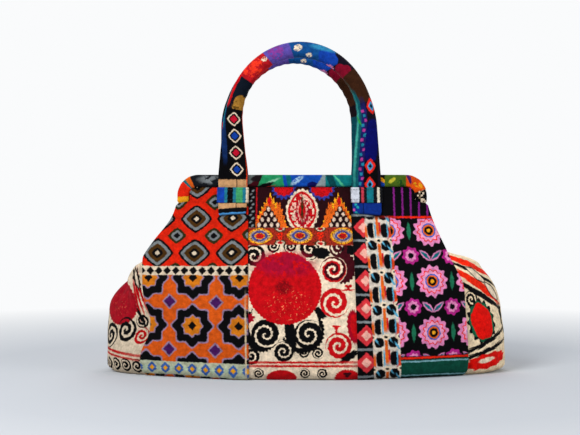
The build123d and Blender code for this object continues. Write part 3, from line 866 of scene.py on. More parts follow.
phase = add(spiral_group, MATH, arms, share_round, operation="SUBTRACT").outputs[0]
half_fill = add(spiral_group, MATH, given["Fill"], 0.5, operation="MULTIPLY").outputs[0]
centred = add(spiral_group, MATH, phase, half_fill, operation="SUBTRACT").outputs[0]
centred = add(spiral_group, MATH, centred, 0.5, operation="ADD").outputs[0]
centred = add(spiral_group, MATH, centred, operation="FRACT").outputs[0]
centred = add(spiral_group, MATH, centred, 0.5, operation="SUBTRACT").outputs[0]
from_line = add(spiral_group, MATH, centred, operation="ABSOLUTE").outputs[0]
teeth = add(spiral_group, MATH, share_round, given["Teeth"], operation="MULTIPLY").outputs[0]
teeth = add(spiral_group, MATH, teeth, 1.0, operation="PINGPONG").outputs[0]
teeth = add(spiral_group, MATH, teeth, given["Depth"], operation="MULTIPLY").outputs[0]
arm_width = add(spiral_group, MATH, half_fill, teeth, operation="ADD").outputs[0]
inside = add(spiral_group, MATH, arm_width, from_line, operation="SUBTRACT").outputs[0]
inside = add(spiral_group, MATH, inside, pitch, operation="MULTIPLY").outputs[0]
rim = add(spiral_group, MATH, given["Radius"], reach, operation="SUBTRACT").outputs[0]
inside = add(spiral_group, MATH, inside, rim, operation="MINIMUM").outputs[0]
low_edge = add(spiral_group, MATH, given["Edge"], -1.0, operation="MULTIPLY").outputs[0]
share = add(spiral_group, "ShaderNodeMapRange", inside, low_edge, given["Edge"], 0.0, 1.0).outputs[0]
add(spiral_group, "NodeGroupOutput", share)
print("shape groups:", len(shape_group.nodes), "and", len(spiral_group.nodes), "nodes")

# %% [markdown]
# A motif is a small list of shapes. Shapes inside a region are cut off at its edge, and a region
# can repeat a small tile. Each cloth's print is then one list, read from the bottom layer up.


# %% Motifs
def patch(ink, x, z, wide, tall=None, turn=0, power=2, lobes=0, depth=0.0, edge=0.45, **more):
    """A rounded shape centred at x and z, with its half width and half height in millimetres."""
    return dict(ink=ink, centre=(x, z, 0), size=(wide, tall or wide, 1), turn=radians(turn), power=power,
                lobes=lobes, depth=depth, edge=edge, **more)


def spiral(ink, x, z, radius, turn=0, hand=1, fill=0.56, teeth=22, depth=0.09):
    """A saw-edged spiral."""
    return dict(ink=ink, centre=(x, z, 0), radius=radius, turn=radians(turn), hand=hand, fill=fill,
                teeth=teeth, depth=depth)


def region(ink, x, z, wide, tall, inside, turn=0, tile=None, power=14, **more):
    """A nearly rectangular field with its own shapes, repeated as tiles if a tile size is given."""
    return patch(ink, x, z, wide, tall, turn, power, inside=inside, tile=tile, **more)


def rings(x, z, wide, tall, inks, shares, **more):
    """Shapes of one kind inside each other."""
    return [patch(ink, x, z, wide * share, tall * share, **more) for ink, share in zip(inks, shares)]


def leaf(x, z, length, width, turn, ink, rim, vein=None):
    """A pointed leaf with an outline and a midrib."""
    shapes = [patch(rim, x, z, length, width, turn, power=1.5),
              patch(ink, x, z, length - 1.6, width - 1.5, turn, power=1.5)]
    if vein:
        shapes.append(patch(vein, x, z, length - 4, 0.7, turn, power=3))
    return shapes


def dots(ink, places, wide, tall=None, **more):
    """The same small shape at several places."""
    return [patch(ink, x, z, wide, tall, **more) for x, z in places]


CREAM, RED, VERMILION, ORANGE = "#E3D3BC", "#C41A24", "#E4381B", "#DE7228"
MAUVE, BLACK, BROWN, GREY = "#A58FA8", "#0B0A0F", "#5C4018", "#8B9092"
TEAL, ROYAL, NAVY, MAGENTA = "#137A84", "#1F50A8", "#161B66", "#B8348E"
PINK, YELLOW, GREEN, MAROON = "#DE93BC", "#EDAE2C", "#1F6B4E", "#4E1220"
TAN, SKY, PALE, OLIVE = "#C79F76", "#66B0CC", "#C9CDB4", "#3F3C1C"
SALMON, CRIMSON, DARK, PLUM = "#E58A66", "#A81030", "#2B0E14", "#5C2A6E"


def layered(tree, place, ground, shapes):
    """The colour of a print: a ground with shapes over it, in order."""
    result = ground
    for shape in shapes:
        if "radius" in shape:
            made = add(tree, "ShaderNodeGroup", node_tree=spiral_group)
            values = [place, shape["centre"], shape["radius"], shape["turn"], shape["hand"],
                      shape["fill"], shape["teeth"], shape["depth"]]
        else:
            made = add(tree, "ShaderNodeGroup", node_tree=shape_group)
            values = [place, shape["centre"], shape["size"], shape["turn"], shape["power"],
                      shape["lobes"], shape["depth"], shape["edge"]]
        for socket, value in zip(made.inputs, values):
            if isinstance(value, bpy.types.NodeSocket):
                tree.links.new(value, socket)
            else:
                socket.default_value = value
        share = made.outputs[0]
        ink = colour(shape["ink"])
        if shape.get("grain"):
            scale, least = shape["grain"]
            speck = add(tree, "ShaderNodeTexNoise", place, None, scale, 3.0, 0.65).outputs[0]
            speck = add(tree, "ShaderNodeMapRange", speck, least, least + 0.05, 0.0, 1.0).outputs[0]
            share = add(tree, MATH, share, speck, operation="MULTIPLY").outputs[0]
        if shape.get("cells"):
            cell, inks = shape["cells"]
            square = add(tree, VECTOR, place, (cell, cell, 1), operation="DIVIDE").outputs[0]
            whole = add(tree, VECTOR, square, operation="FLOOR").outputs[0]
            chance = add(tree, "ShaderNodeTexWhiteNoise", whole, noise_dimensions="2D").outputs[0]
            ramp = add(tree, "ShaderNodeValToRGB", chance)
            ramp.color_ramp.interpolation = "CONSTANT"
            ramp.color_ramp.elements[1].position = 1 / len(inks)
            while len(ramp.color_ramp.elements) < len(inks):
                ramp.color_ramp.elements.new(len(ramp.color_ramp.elements) / len(inks))
            for element, name in zip(ramp.color_ramp.elements, inks):
                element.color = colour(name)
            ink = ramp.outputs[0]
        if shape.get("inside"):
            local = place
            if shape.get("tile"):
                local = add(tree, VECTOR, place, shape["centre"], operation="SUBTRACT").outputs[0]
                local = add(tree, "ShaderNodeVectorRotate", local, None, None, shape["turn"],
                            rotation_type="Z_AXIS", invert=True).outputs[0]
                tile = (*shape["tile"], 1)
                local = add(tree, VECTOR, local, tile, operation="DIVIDE").outputs[0]
                local = add(tree, VECTOR, local, (0.5, 0.5, 0), operation="ADD").outputs[0]
                local = add(tree, VECTOR, local, operation="FRACTION").outputs[0]
                local = add(tree, VECTOR, local, (0.5, 0.5, 0), operation="SUBTRACT").outputs[0]
                local = add(tree, VECTOR, local, tile, operation="MULTIPLY").outputs[0]
            ink = layered(tree, local, ink, shape["inside"])
        mixed = add(tree, "ShaderNodeMix", data_type="RGBA")
        tree.links.new(share, mixed.inputs[0])
        for socket, value in ((mixed.inputs[6], result), (mixed.inputs[7], ink)):
            if isinstance(value, bpy.types.NodeSocket):
                tree.links.new(value, socket)
            else:
                socket.default_value = value
        result = mixed.outputs[2]
    return result


ink_creep = 2.6
dye_depth = 1.25


def velvet(name, ground, shapes, strength=1.0):
    """Printed short-pile velvet. Its soft sheen and its mottling make it read as cloth, not card.

    A strength under one is a darker cloth, and one above it a paler one.
    """
    material = bpy.data.materials.new(name)
    material.use_nodes = True
    tree = material.node_tree
    tree.nodes.clear()
    place = add(tree, "ShaderNodeUVMap", uv_map="cloth").outputs[0]
    place = add(tree, VECTOR, place, (1 / mm, 1 / mm, 1), operation="MULTIPLY").outputs[0]
    wander = add(tree, "ShaderNodeTexNoise", place, None, 0.35, 2.0, 0.6).outputs[1]
    wander = add(tree, VECTOR, wander, (0.5, 0.5, 0.5), operation="SUBTRACT").outputs[0]
    wander = add(tree, VECTOR, wander, (ink_creep, ink_creep, 0), operation="MULTIPLY").outputs[0]
    printed_place = add(tree, VECTOR, place, wander, operation="ADD").outputs[0]
    base_ink = add(tree, "ShaderNodeRGB").outputs[0]
    base_ink.default_value = colour(ground)
    inks = layered(tree, printed_place, base_ink, shapes)
    inks = add(tree, VECTOR, inks, (dye_depth,) * 3, operation="POWER").outputs[0]
    mottle = add(tree, "ShaderNodeTexNoise", place, None, 0.16, 6.0, 0.72).outputs[0]
    mottle = add(tree, "ShaderNodeMapRange", mottle, 0.30, 0.70,
                 0.62 * strength, 1.45 * strength).outputs[0]
    inks = add(tree, VECTOR, inks, None, None, mottle, operation="SCALE").outputs[0]
    surface = add(tree, "ShaderNodeBsdfPrincipled", inks)
    surface.inputs["Roughness"].default_value = 0.86
    surface.inputs["Specular IOR Level"].default_value = 0.06
    surface.inputs["Sheen Weight"].default_value = 0.05
    surface.inputs["Sheen Roughness"].default_value = 0.35
    pile = add(tree, "ShaderNodeTexNoise", place, None, 2.2, 2.0, 0.6).outputs[0]
    nap = add(tree, "ShaderNodeBump", 0.35, 0.0004, None, pile).outputs[0]
    tree.links.new(nap, surface.inputs["Normal"])
    add(tree, "ShaderNodeOutputMaterial", surface.outputs[0])
    return material


# %% [markdown]
# The middle panel carries two traditional cloths: an ikat band over a row of eyes, and a suzani
# below it, with its large red disc and its saw-edged spirals.

# %% Middle panel's print
suzani = [
    *dots(BLACK, [(22, 143), (54, 146)], 10, 6, lobes=9, depth=0.08),
    patch(MAROON, 46, 126, 15, 18, lobes=21, depth=0.05),
    patch(CREAM, 35, 124, 15.5, 16),
    spiral(RED, 35, 124, 15, 30, 1, 0.58),
    spiral(MAROON, 35, 124, 15, 30, 1, 0.30),
    spiral(BLACK, 8, 147, 12, 200, -1, 0.60), spiral(MAROON, 42, 149, 11, 20, -1, 0.58),
    spiral(BLACK, -56, 139, 13, 90, 1, 0.6), spiral(BLACK, -34, 150, 8, 0, 1),
    spiral(BLACK, -14, 149, 8, 180, 1),
    patch(BLACK, 18.5, 76, 9, 5, -35, lobes=7, depth=0.08),
    spiral(RED, 36, 87, 16.5, 200, 1, 0.60),
    patch(BLACK, 0, 56, 24, 25, lobes=34, depth=0.03), patch(CREAM, -3, 62, 21, 25),
    patch(CREAM, 6.5, 52, 15, 15),
    spiral(BLACK, 6.5, 52, 16.5, 20, -1, 0.66, teeth=26),
    patch(BLACK, -47, 57, 21, 25, lobes=34, depth=0.03), patch(CREAM, -40, 63, 21, 26),
    spiral(BLACK, -42, 52, 16.5, 200, 1, 0.66, teeth=26),
    patch(BLACK, -14, 52, 6, 22, 8, lobes=30, depth=0.05), patch(CREAM, -22, 33, 11, 11),
    spiral(BLACK, -22, 33, 11.5, 10, 1, 0.62), spiral(BLACK, -58, 28, 10, 30, -1, 0.6),
    spiral(RED, 40, 39, 15, 60, 1, 0.60), patch(BLACK, 52, 27, 12, 4, 32, lobes=9, depth=0.12),
    spiral(BLACK, 1, 32, 6, 0, 1), spiral(BLACK, 17, 31, 6.5, 180, 1),
    patch(CRIMSON, 58, 60, 8, 19, 6, lobes=21, depth=0.05), patch(RED, 59, 61, 5.5, 14, 6),
    patch(RED, 37.5, 60, 4, 2.2, lobes=3, depth=0.3), patch(RED, 37.5, 56, 1.1, 5),
    patch(RED, 51, 101, 7, 1.2, lobes=5, depth=0.3), patch(RED, 52, 104, 3.2, 3, lobes=3, depth=0.4),
    patch(CRIMSON, -60, 70, 5, 5, lobes=7, depth=0.2),
    patch("#C11420", -20.5, 103, 42, 40, lobes=60, depth=0.008),
    # Painted sheen: a darker magenta cast over the top of the red disc
    patch("#A8143C", -20.5, 130, 33, 13, power=2.4, edge=4.0, grain=(0.09, 0.42)),
    patch("#8E0E1C", -22, 104, 9, 8, lobes=9, depth=0.06, edge=2.0, grain=(0.5, 0.4)),
    patch(SALMON, -16, 84, 25, 18, edge=3.0, grain=(0.33, 0.60)),
    patch(RED, 0, 20.6, 70, 1.3, power=12, lobes=40, depth=0.25),
    patch(RED, 0, 16.4, 70, 1.3, power=12, lobes=40, depth=0.25),
    patch(RED, -24, 2, 17, 10), patch(RED, 50, 3, 14, 9.5, lobes=30, depth=0.03),
    patch(MAROON, 50, 7, 4, 2.5, lobes=3, depth=0.3),
    spiral(BLACK, 2, 8, 6, 0, 1), spiral(BLACK, 22, 8, 6, 180, 1), spiral(BLACK, -50, 8, 6, 40, 1),
]
eyes = []
for x, wide in ((-50, 15), (-3, 15), (47, 14.5)):
    eyes += rings(x, 162, wide, 9.6, (YELLOW, "#B9A58A", "#3B5CA6", YELLOW, RED),
                  (1, 0.80, 0.64, 0.42, 0.34), power=1.7)
for x in (-26, 21, 66):
    eyes += rings(x, 170.5, 7, 4.2, (OLIVE, CREAM, RED), (1, 0.72, 0.45), power=1.8)
    eyes += rings(x, 153.5, 7, 4.2, (OLIVE, CREAM, RED), (1, 0.72, 0.45), power=1.8)
    eyes += [patch(VERMILION, x, 162, 3.6, 5.2, lobes=3, depth=0.2)]
ikat = [
    patch("#3D4A9C", 23.5, 219, 15, 14, lobes=17, depth=0.10),
    patch(RED, 23.5, 220, 13, 11.5, lobes=11, depth=0.06),
    patch("#3D4A9C", -22, 219, 14, 13, lobes=17, depth=0.10),
    patch(RED, -22, 220, 12, 10.5, lobes=11, depth=0.06),
]
for side, x in ((1, 43), (-1, -38)):
    ikat += [
        patch(YELLOW, x, 170, 21, 41, power=1.1, lobes=29, depth=0.06),
        patch(ORANGE, x - 10 * side, 172, 9, 30, power=1.2, lobes=15, depth=0.10),
        patch(ORANGE, x + side, 178, 15, 30, power=1.1, lobes=19, depth=0.08),
        patch(RED, x + side, 203, 2.2, 6, power=1.3),
        patch(DARK, x + 2 * side, 168, 17, 30, power=1.1, lobes=23, depth=0.05),
    ]
    for row, count in enumerate((4, 3, 2, 1)):
        for k in range(count):
            dot_x = x + 2 * side + (k - (count - 1) / 2) * 7.4
            ikat.append(patch("#D8C3B0", dot_x, 175 + row * 6.2, 2.0, 2.7, power=1.7))
ikat += [
    patch(CREAM, 0, 191, 19.5, 27, power=1.75, lobes=22, depth=0.03),
    patch(RED, 0, 191, 17, 24, power=1.7),
    patch("#E7B9A8", 0, 191, 14.5, 21, power=1.7, cells=(2.4, (RED, "#E7B9A8", CREAM, RED, "#E7B9A8"))),
    patch(CRIMSON, 0, 190, 8, 17, power=1.6, lobes=8, depth=0.10),
    patch("#D9A698", 0, 192, 6, 13, power=1.6, lobes=14, depth=0.14),
    patch(RED, 0, 192, 4.4, 11, power=1.6),
    patch(OLIVE, 0, 194, 1.4, 15, lobes=9, depth=0.3),
    patch(BLACK, -60, 196, 5.0, 30, power=8),
    *dots(GREY, [(-60 + 1.3 * (-1) ** k, 216 - 4.2 * k) for k in range(11)], 1.8, 1.1, turn=30),
    patch(RED, -54.3, 200, 0.8, 26, power=8), patch(BLACK, 62, 205, 4.5, 22, power=8),
]
middle_print = [
    *suzani,
    region("#A83A2A", 0, 161.6, 75, 10.3, eyes),
    region("#35121A", 0, 197, 75, 25.3, ikat),
    patch("#2A0F12", 0, 199, 68, 23, power=12, grain=(0.75, 0.56)),
    patch("#6B2F1C", 0, 162, 68, 9.6, power=12, grain=(0.6, 0.52)),
]
middle_velvet = velvet("velvet_suzani_and_ikat", CREAM, middle_print, 1.04)
print("middle panel's shapes:", len(suzani) + len(eyes) + len(ikat))

# %% [markdown]
# The left panel is a patchwork of two old rug patterns: lozenges on vermilion above, and
# eight-pointed stars on orange below. A star is two squares turned against each other. Each
# pattern is one small tile that repeats over its field, with borders where the fields meet.

# %% Left panel's print
lozenge_tile = [
    *rings(0, 0, 19, 16.5, (BLACK, GREY, BROWN, BLACK, CREAM), (1, 0.84, 0.62, 0.36, 0.16), power=1.25),
    *[shape for x in (-22, 22) for z in (-20, 20)
      for shape in rings(x, z, 11, 9.5, (OLIVE, GREY, BLACK), (1, 0.66, 0.36), power=1.25)],
]
star_tile = [
    *[patch(ink, 0, 0, size, size, turn, power=14)
      for ink, size in ((MAUVE, 19.2), (BLACK, 17.6), (MAUVE, 9.8), ("#D98A28", 8.6))
      for turn in (0, 45)],
    patch(BLACK, 0, 0, 3.6, 3.6, 45, power=14),
    *[patch(ink, x, z, size, size, 45, power=14) for ink, size in ((MAUVE, 6.4), (PLUM, 4.8))
      for x in (-27, 27) for z in (-27, 27)],
]
border_tile = [patch(BLACK, 0, 0, 3.4, 3.4, 45, power=14)]
hem_tile = [
    patch("#4E78B8", 0, 0, 5.0, 5.0, 45, power=14), patch(YELLOW, 0, 0, 2.2, 2.2, 45, power=14),
    *[patch("#C3D2B8", x, 0, 2.6, 2.6, 45, power=14) for x in (-8, 8)],
]
left_print = [
    region("#DE3414", -126, 182, 75, 60, lozenge_tile, tile=(44, 40)),
    region("#DC6C24", -126, 60, 75, 62, star_tile, tile=(54, 54)),
    region(CREAM, -126, 122, 75, 5.2, border_tile, tile=(10.4, 10.4)),
    region(PALE, -126, 11, 75, 8.0, hem_tile, tile=(16, 16)),
    # Painted highlight: two thin pale strips along the folded lap edge stand in for the light on that
    # edge; the lower cream one is partly the cream print there
    patch("#E59A6A", -62.8, 158, 0.7, 78, 1.1, power=10, grain=(0.5, 0.42)),
    patch("#DCCBAE", -64.0, 40, 0.9, 42, 1.1, power=10),
]
left_velvet = velvet("velvet_lozenges_and_stars", "#DE3414", left_print, 0.80)
print("left panel's shapes:", len(lozenge_tile) + len(star_tile) + len(left_print))

# %% [markdown]
# The right panel has a narrow strip and a strip of woven lattice beside the lap. Past them are
# scalloped roundels on black, each with small ones and pairs of leaves between, over a green hem
# and under plain stripes.

# %% Right panel's print
lattice_tile = [
    patch(ORANGE, 0, 12, 1.9, 10, power=6), patch(RED, 2.8, 12, 1.1, 8, power=6),
    patch(ORANGE, 0, -13, 1.7, 7, power=6),
    patch("#D4502A", 13.4, 3, 2.6, 9, power=5), patch(ORANGE, -14.4, 3, 1.6, 10, power=6),
    patch(BLACK, -7.5, 8, 5.2, 8.8, power=2.6), patch(CREAM, -4.4, 8, 0.8, 8, power=6),
    patch(SKY, -3.0, 8, 0.9, 8.4, power=6),
    patch(BLACK, 8.4, 8, 4.8, 8.2, power=2.6), patch(SKY, 11.8, 8, 0.8, 8, power=6),
    patch(BLACK, -8, -9.5, 5.6, 5.8, power=2.3), patch(BLACK, 8, -9.5, 5.6, 6.2, power=2.3),
    patch(SKY, -12.6, -5, 1.2, 7, 32), patch(SKY, 13, -15, 1.2, 6, 30), patch(SKY, 3.6, -4.4, 1.0, 6, 34),
    *rings(0, -3.6, 4.8, 3.4, (CREAM, BLACK), (1, 0.42)),
    *rings(15.7, -3.6, 4.4, 3.2, (CREAM, BLACK), (1, 0.42)),
    *rings(-15.7, -3.6, 4.4, 3.2, (CREAM, BLACK), (1, 0.42)),
]
strip_tile = [
    patch("#D2444C", 0, 0, 8.6, 8.6, 45, power=12), patch("#E9B4A6", 0, 0, 4.2, 4.2, 45, power=12),
    *[patch(GREY, 0, z, 12, 1.3, power=8) for z in (-15, 15)],
]
roundel_tile = [
    *rings(0, 0, 17.5, 17.5, (PINK, VERMILION, "#E4A6C2"), (1, 0.76, 0.68), lobes=12, depth=0.09),
    *rings(0, 0, 8.4, 8.4, ("#2E6FC0", ORANGE, BLACK, YELLOW), (1, 0.82, 0.60, 0.26)),
    *[shape for x in (-24, 24) for z in (-29, 29)
      for shape in rings(x, z, 9.5, 9.5, (MAGENTA, PINK, BLACK), (1, 0.66, 0.34), lobes=8, depth=0.10)],
    *[shape for z in (-29, 29) for side in (-1, 1)
      for shape in leaf(6.5 * side, z, 8.5, 3.4, 40 * side, TEAL, PINK)],
    *[patch("#2E7E60", x, 0, 2.6, 10, power=1.5) for x in (-24, 24)],
]
stripe_tile = [patch("#8A2E86", 0, 0, 1.1, 40, power=10)]
right_print = [
    region(BLACK, 150, 110, 46, 84, roundel_tile, tile=(48, 58)),
    region(BLACK, 150, 212, 46, 30, stripe_tile, tile=(10, 60)),
    patch("#17594A", 150, 12, 48, 10, power=14),
    *[patch("#8FB8C0", 150, z, 48, 0.8, power=14) for z in (4, 20)],
    patch(VERMILION, 150, 24, 48, 1.2, power=14), patch(VERMILION, 150, 184, 48, 1.2, power=14),
    region(BLACK, 71.5, 110, 13.5, 125, strip_tile, tile=(27, 30)),
    region("#D9CFC2", 92.3, 88, 15.7, 95, lattice_tile, turn=2.6, tile=(31.4, 36.0)),
]
right_velvet = velvet("velvet_roundels_and_lattice", BLACK, right_print)
print("right panel's shapes:", len(roundel_tile) + len(strip_tile) + len(lattice_tile))

# %% [markdown]
# The ends are cut from suzani cloth too. Their print is measured from the front corner seam.

# %% Prints of the ends
left_end = [
    *[patch(RED, -5 - 4 * k, 98 - 5 * k, 1.7, 24, 6 - 5 * k, lobes=9, depth=0.18) for k in range(3)],
    patch(BLACK, -8, 112, 4, 13, 12, lobes=9, depth=0.16), patch(CREAM, -8, 112, 1.6, 9, 12),
    patch(BLACK, -15, 72, 2.2, 19, 24, lobes=11, depth=0.15),
    patch("#B31A30", -47, 88, 33, 31, lobes=40, depth=0.015),
    # Painted sheen: a darker crimson cast over the top of the red disc, as on the middle panel
    patch(CRIMSON, -47, 104, 24, 12, edge=4, grain=(0.1, 0.42)),
    patch(SALMON, -45, 80, 15, 12, edge=3, grain=(0.35, 0.6)),
    spiral(BLACK, -34, 52, 15, 40, 1, 0.5, teeth=14), spiral(BLACK, -62, 44, 15, 200, -1, 0.5, teeth=14),
    spiral(RED, -11, 46, 10, 0, 1, 0.5),
    spiral(BLACK, -12, 63, 8, 90, -1), spiral(BLACK, -90, 56, 14, 10, 1, 0.5),
    spiral(BLACK, -112, 40, 12, 80, -1), patch("#B31A30", -140, 92, 28, 28),
    patch(RED, -90, 30, 110, 1.5, -5, power=10, lobes=60, depth=0.3),
    patch(RED, -90, 25, 110, 1.2, -5, power=10, lobes=60, depth=0.3),
    *[spiral(BLACK, -8 - 17 * k, 11, 8, 70 * k, 1, 0.55) for k in range(9)],
    patch(MAROON, -40, 150, 60, 12, power=3, lobes=12, depth=0.1),
    patch(CREAM, -40, 150, 50, 7, grain=(0.15, 0.5)),
]
right_end = [
    *[patch(ink, 30, z, 44, tall, turn, lobes=9, depth=0.12) for ink, z, tall, turn in (
        (VERMILION, 126, 4.0, -20), (BLACK, 117, 2.4, -24),
        (VERMILION, 103, 5.0, -30), (BLACK, 92, 3.4, -26))],
    *leaf(28, 116, 17, 6, -34, CREAM, BLACK), *leaf(52, 96, 17, 6, -40, CREAM, BLACK),
    spiral(BLACK, 13, 88, 10, 30, 1, 0.5),
    patch(BLACK, 25, 62, 20, 25, 10, lobes=15, depth=0.09),
    patch(GREEN, 25, 62, 18, 23, 10, lobes=9, depth=0.06),
    patch("#D81E14", 25, 62, 15.5, 21, 10, lobes=5, depth=0.05),
    *[patch(BLACK, 30, z, 46, 2.6, turn, lobes=13, depth=0.25) for z, turn in ((38, 22), (28, 16))],
    patch("#D81E14", 34, 16, 34, 9, 8, lobes=11, depth=0.08), patch(CREAM, 30, 17, 12, 3, 8),
    patch(BLACK, 72, 60, 9, 22, 20, lobes=11, depth=0.1),
    spiral(RED, 92, 84, 18, 0, 1), spiral(BLACK, 100, 40, 16, 90, -1), patch("#D81E14", 140, 70, 22, 24),
]
end_velvet = {
    "left": velvet("velvet_left_end", CREAM, left_end, 0.78),
    "right": velvet("velvet_right_end", "#E4D2B4", right_end, 1.12),
}
print("ends' shapes:", len(left_end) + len(right_end))

# %% [markdown]
# The band, the rolls and the keepers are cut from offcuts, so their colours change along them.
# Here the print is measured along the piece from its middle, and round it from its outer face.

# %% Prints of the band, handles and keepers
band_print = [
    patch(NAVY, -188, 0, 16, 40, power=8), patch(PLUM, -176, 0, 6, 40, power=6),
    patch(YELLOW, -160, 0, 13, 40, 0, power=6, lobes=5, depth=0.08),
    patch(VERMILION, -146, 2, 8, 40, power=6, lobes=7, depth=0.08),
    patch(TEAL, -138, 0, 1.6, 40, power=8), patch(ORANGE, -134, 0, 3, 40, power=8),
    patch("#23262C", -112, 0, 20, 40, power=8), patch(GREY, -110, 4, 14, 5, grain=(0.12, 0.45), edge=1.5),
    patch("#77807E", -58, 0, 14, 40, power=8), patch(MAROON, -56, -4, 14, 6, 24),
    patch("#2A2024", -46, 8, 16, 5, 16),
    patch("#35A070", -34, 0, 16, 40, -24, power=6), patch("#9AD0B0", -36, 2, 9, 1.4, 22),
    patch(BLACK, -48, -5, 14, 3, 22), patch(RED, -42, -6, 9, 1.2, 20),
    patch("#1F5FB8", 2, 0, 24, 40, 8, power=6), patch(TEAL, -15, 0, 3, 40, 12, power=6),
    patch("#A9C6DC", -6, 3, 9, 3, 35, grain=(0.3, 0.42)), patch(NAVY, 14, -4, 8, 5, -20),
    patch("#98A7A8", 26, 0, 6, 40, -30, power=6), patch("#1A8C8E", 44, 0, 16, 40, power=8),
    patch("#62C8A0", 46, 0, 1.3, 14, 40), patch("#0F5A60", 36, 0, 4, 40, 20, power=5),
    patch(BLACK, 80, 0, 20, 40, power=8), patch(YELLOW, 94, 4, 7, 3, -30),
    patch(ROYAL, 96, -2, 8, 3, -30),
    patch("#5E7A2C", 112, 0, 13, 40, power=8), patch("#C9C24A", 108, 3, 5, 2.4, 40),
    patch("#2E5A2A", 119, -2, 4, 6, 20, grain=(0.2, 0.45)),
    patch("#E2641E", 137, 0, 12, 40, power=8, lobes=7, depth=0.05),
    patch(YELLOW, 140, 4, 6, 3, 30, grain=(0.2, 0.45)), patch(PLUM, 128, 6, 2, 7, 30),
    patch(BLACK, 160, 0, 13, 40, power=8, cells=(2.3, (BLACK, CREAM, BLACK, "#8A7A60", BLACK))),
    patch("#B9A88A", 178, 0, 6, 40, power=8, cells=(2.0, ("#B9A88A", BLACK, "#B9A88A"))),
    patch(MAGENTA, 188, 0, 8, 40, power=8), patch(VERMILION, 196, 0, 3, 40, power=8),
]
band_velvet = velvet("velvet_band", "#2E3036", band_print, 0.85)


def handle_print(front):
    """A handle's shapes. Along it, the feet are at the ends and the top of the arch is at zero."""
    shapes = [
        patch("#B8232E", -56, 0, 22, 60, power=6, lobes=9, depth=0.06),
        patch("#E4462E", -60, 4, 12, 12, grain=(0.15, 0.45)),
        patch(CREAM, -44, 2, 4, 3, grain=(0.4, 0.45)),
        patch("#6B5AA8", -20, 0, 20, 60, power=5, lobes=7, depth=0.08),
        patch("#8E4A9A", -28, 4, 9, 10, grain=(0.2, 0.45)),
        patch("#1D5C94", 14, 0, 24, 60, power=5, lobes=7, depth=0.08),
        patch(CREAM, -2, 2, 5, 4, 20, grain=(0.35, 0.42)), patch(CREAM, 12, -6, 4, 3, grain=(0.35, 0.42)),
        patch(ROYAL, 36, -4, 12, 14, lobes=5, depth=0.1), patch("#3F8FB4", 26, 8, 14, 4, 10, edge=1.2),
        patch(PINK, 44, -10, 6, 3, grain=(0.3, 0.42)),
        patch("#8C1636", 62, -6, 12, 12, lobes=5, depth=0.1), patch("#4A2E1C", 86, 0, 20, 16, power=4),
        patch(BLACK, 96, 22, 60, 8, power=4),
        patch("#15202E", -88, 0, 12, 60, power=5),
        patch("#A9813C", -108, -6, 12, 9, power=3, lobes=7, depth=0.06),
        patch("#6E5220", -112, 0, 9, 5, grain=(0.2, 0.5)),
        patch(BLACK, -124, 0, 8, 60, power=5),
    ]
    if front:
        shapes += [
            patch(TAN, -222, 0, 32, 60, power=10),
            patch(TAN, -196, 14, 26, 8, power=4, lobes=5, depth=0.04),
            patch("#4E3C2C", -222, 0.4, 32, 0.5, power=10),
            patch(BLACK, -156, 0, 42, 60, power=8),
            *[shape for k in range(4) for shape in rings(
                -186 + 20 * k, 0, 8.4, 8.0, (CREAM, BLACK, "#C21F3C" if k % 2 else ROYAL),
                (1, 0.78, 0.52), power=1.25)],
            patch("#E04A1C", -160, -13.6, 46, 2.6, power=6), patch(BLACK, -160, -18.5, 48, 2.4, power=6),
            patch("#1C3A6A", -130, 13.5, 46, 3.4, power=4), patch(RED, -92, 11, 20, 4, power=4),
            patch(TEAL, -112, 14, 22, 2.6, power=4),
            patch(BLACK, -243, 0, 7, 60, power=6), patch("#5A9CD0", -244, 0, 2.2, 60, power=8),
            # Painted highlight: the thin pale line along the teal strip of the right leg stands in for
            # the light on that inner roll
            patch("#14636C", 150, -10, 62, 6, power=5), patch("#58B4A4", 150, -9.5, 44, 1.4, edge=1.2),
            patch("#3FA050", 128, -8, 9, 1.2, 30), patch("#2B2C6E", 160, -1.5, 56, 3.4, power=5),
            *[patch("#2E8FA8" if k % 2 else "#B84A96", 116 + 5.8 * k, -1.5 + 1.5 * (k % 3 - 1), 1.9, 1.7,
                power=4) for k in range(17)],
            patch("#10186E", 152, 9, 25, 7.5, power=4), patch(BLACK, 200, 10, 24, 8.5, power=5),
            *[shape for along in (112, 182, 204) for shape in rings(
                along, 9, 9.5, 6.5, ("#E0382C", "#4FA0C8", BLACK), (1, 0.58, 0.28), power=1.25)],
            patch("#173E8C", 238, 0, 19, 60, power=8), patch("#0A1A44", 238, 0.4, 19, 0.5, power=10),
            *[patch("#2FA3A8" if k % 3 else "#C2589C", 218 + 3.6 * k, -11 + 2.4 * (k % 3), 1.7, 1.6,
                power=3) for k in range(8)],
        ]
    else:
        shapes += [
            patch("#1C2A5E", -180, 0, 60, 60, power=8), patch(RED, -140, 6, 20, 7, lobes=7, depth=0.1),
            patch("#D8732A", -176, -6, 16, 6, lobes=5, depth=0.1),
            patch("#0E5560", 180, 0, 60, 60, power=8),
            patch("#B02A2E", 150, 8, 20, 8, lobes=7, depth=0.1), patch(NAVY, 176, 8, 18, 9, power=3),
            patch("#C24A2A", 108, 10, 14, 7, lobes=5, depth=0.15),
        ]
    return shapes


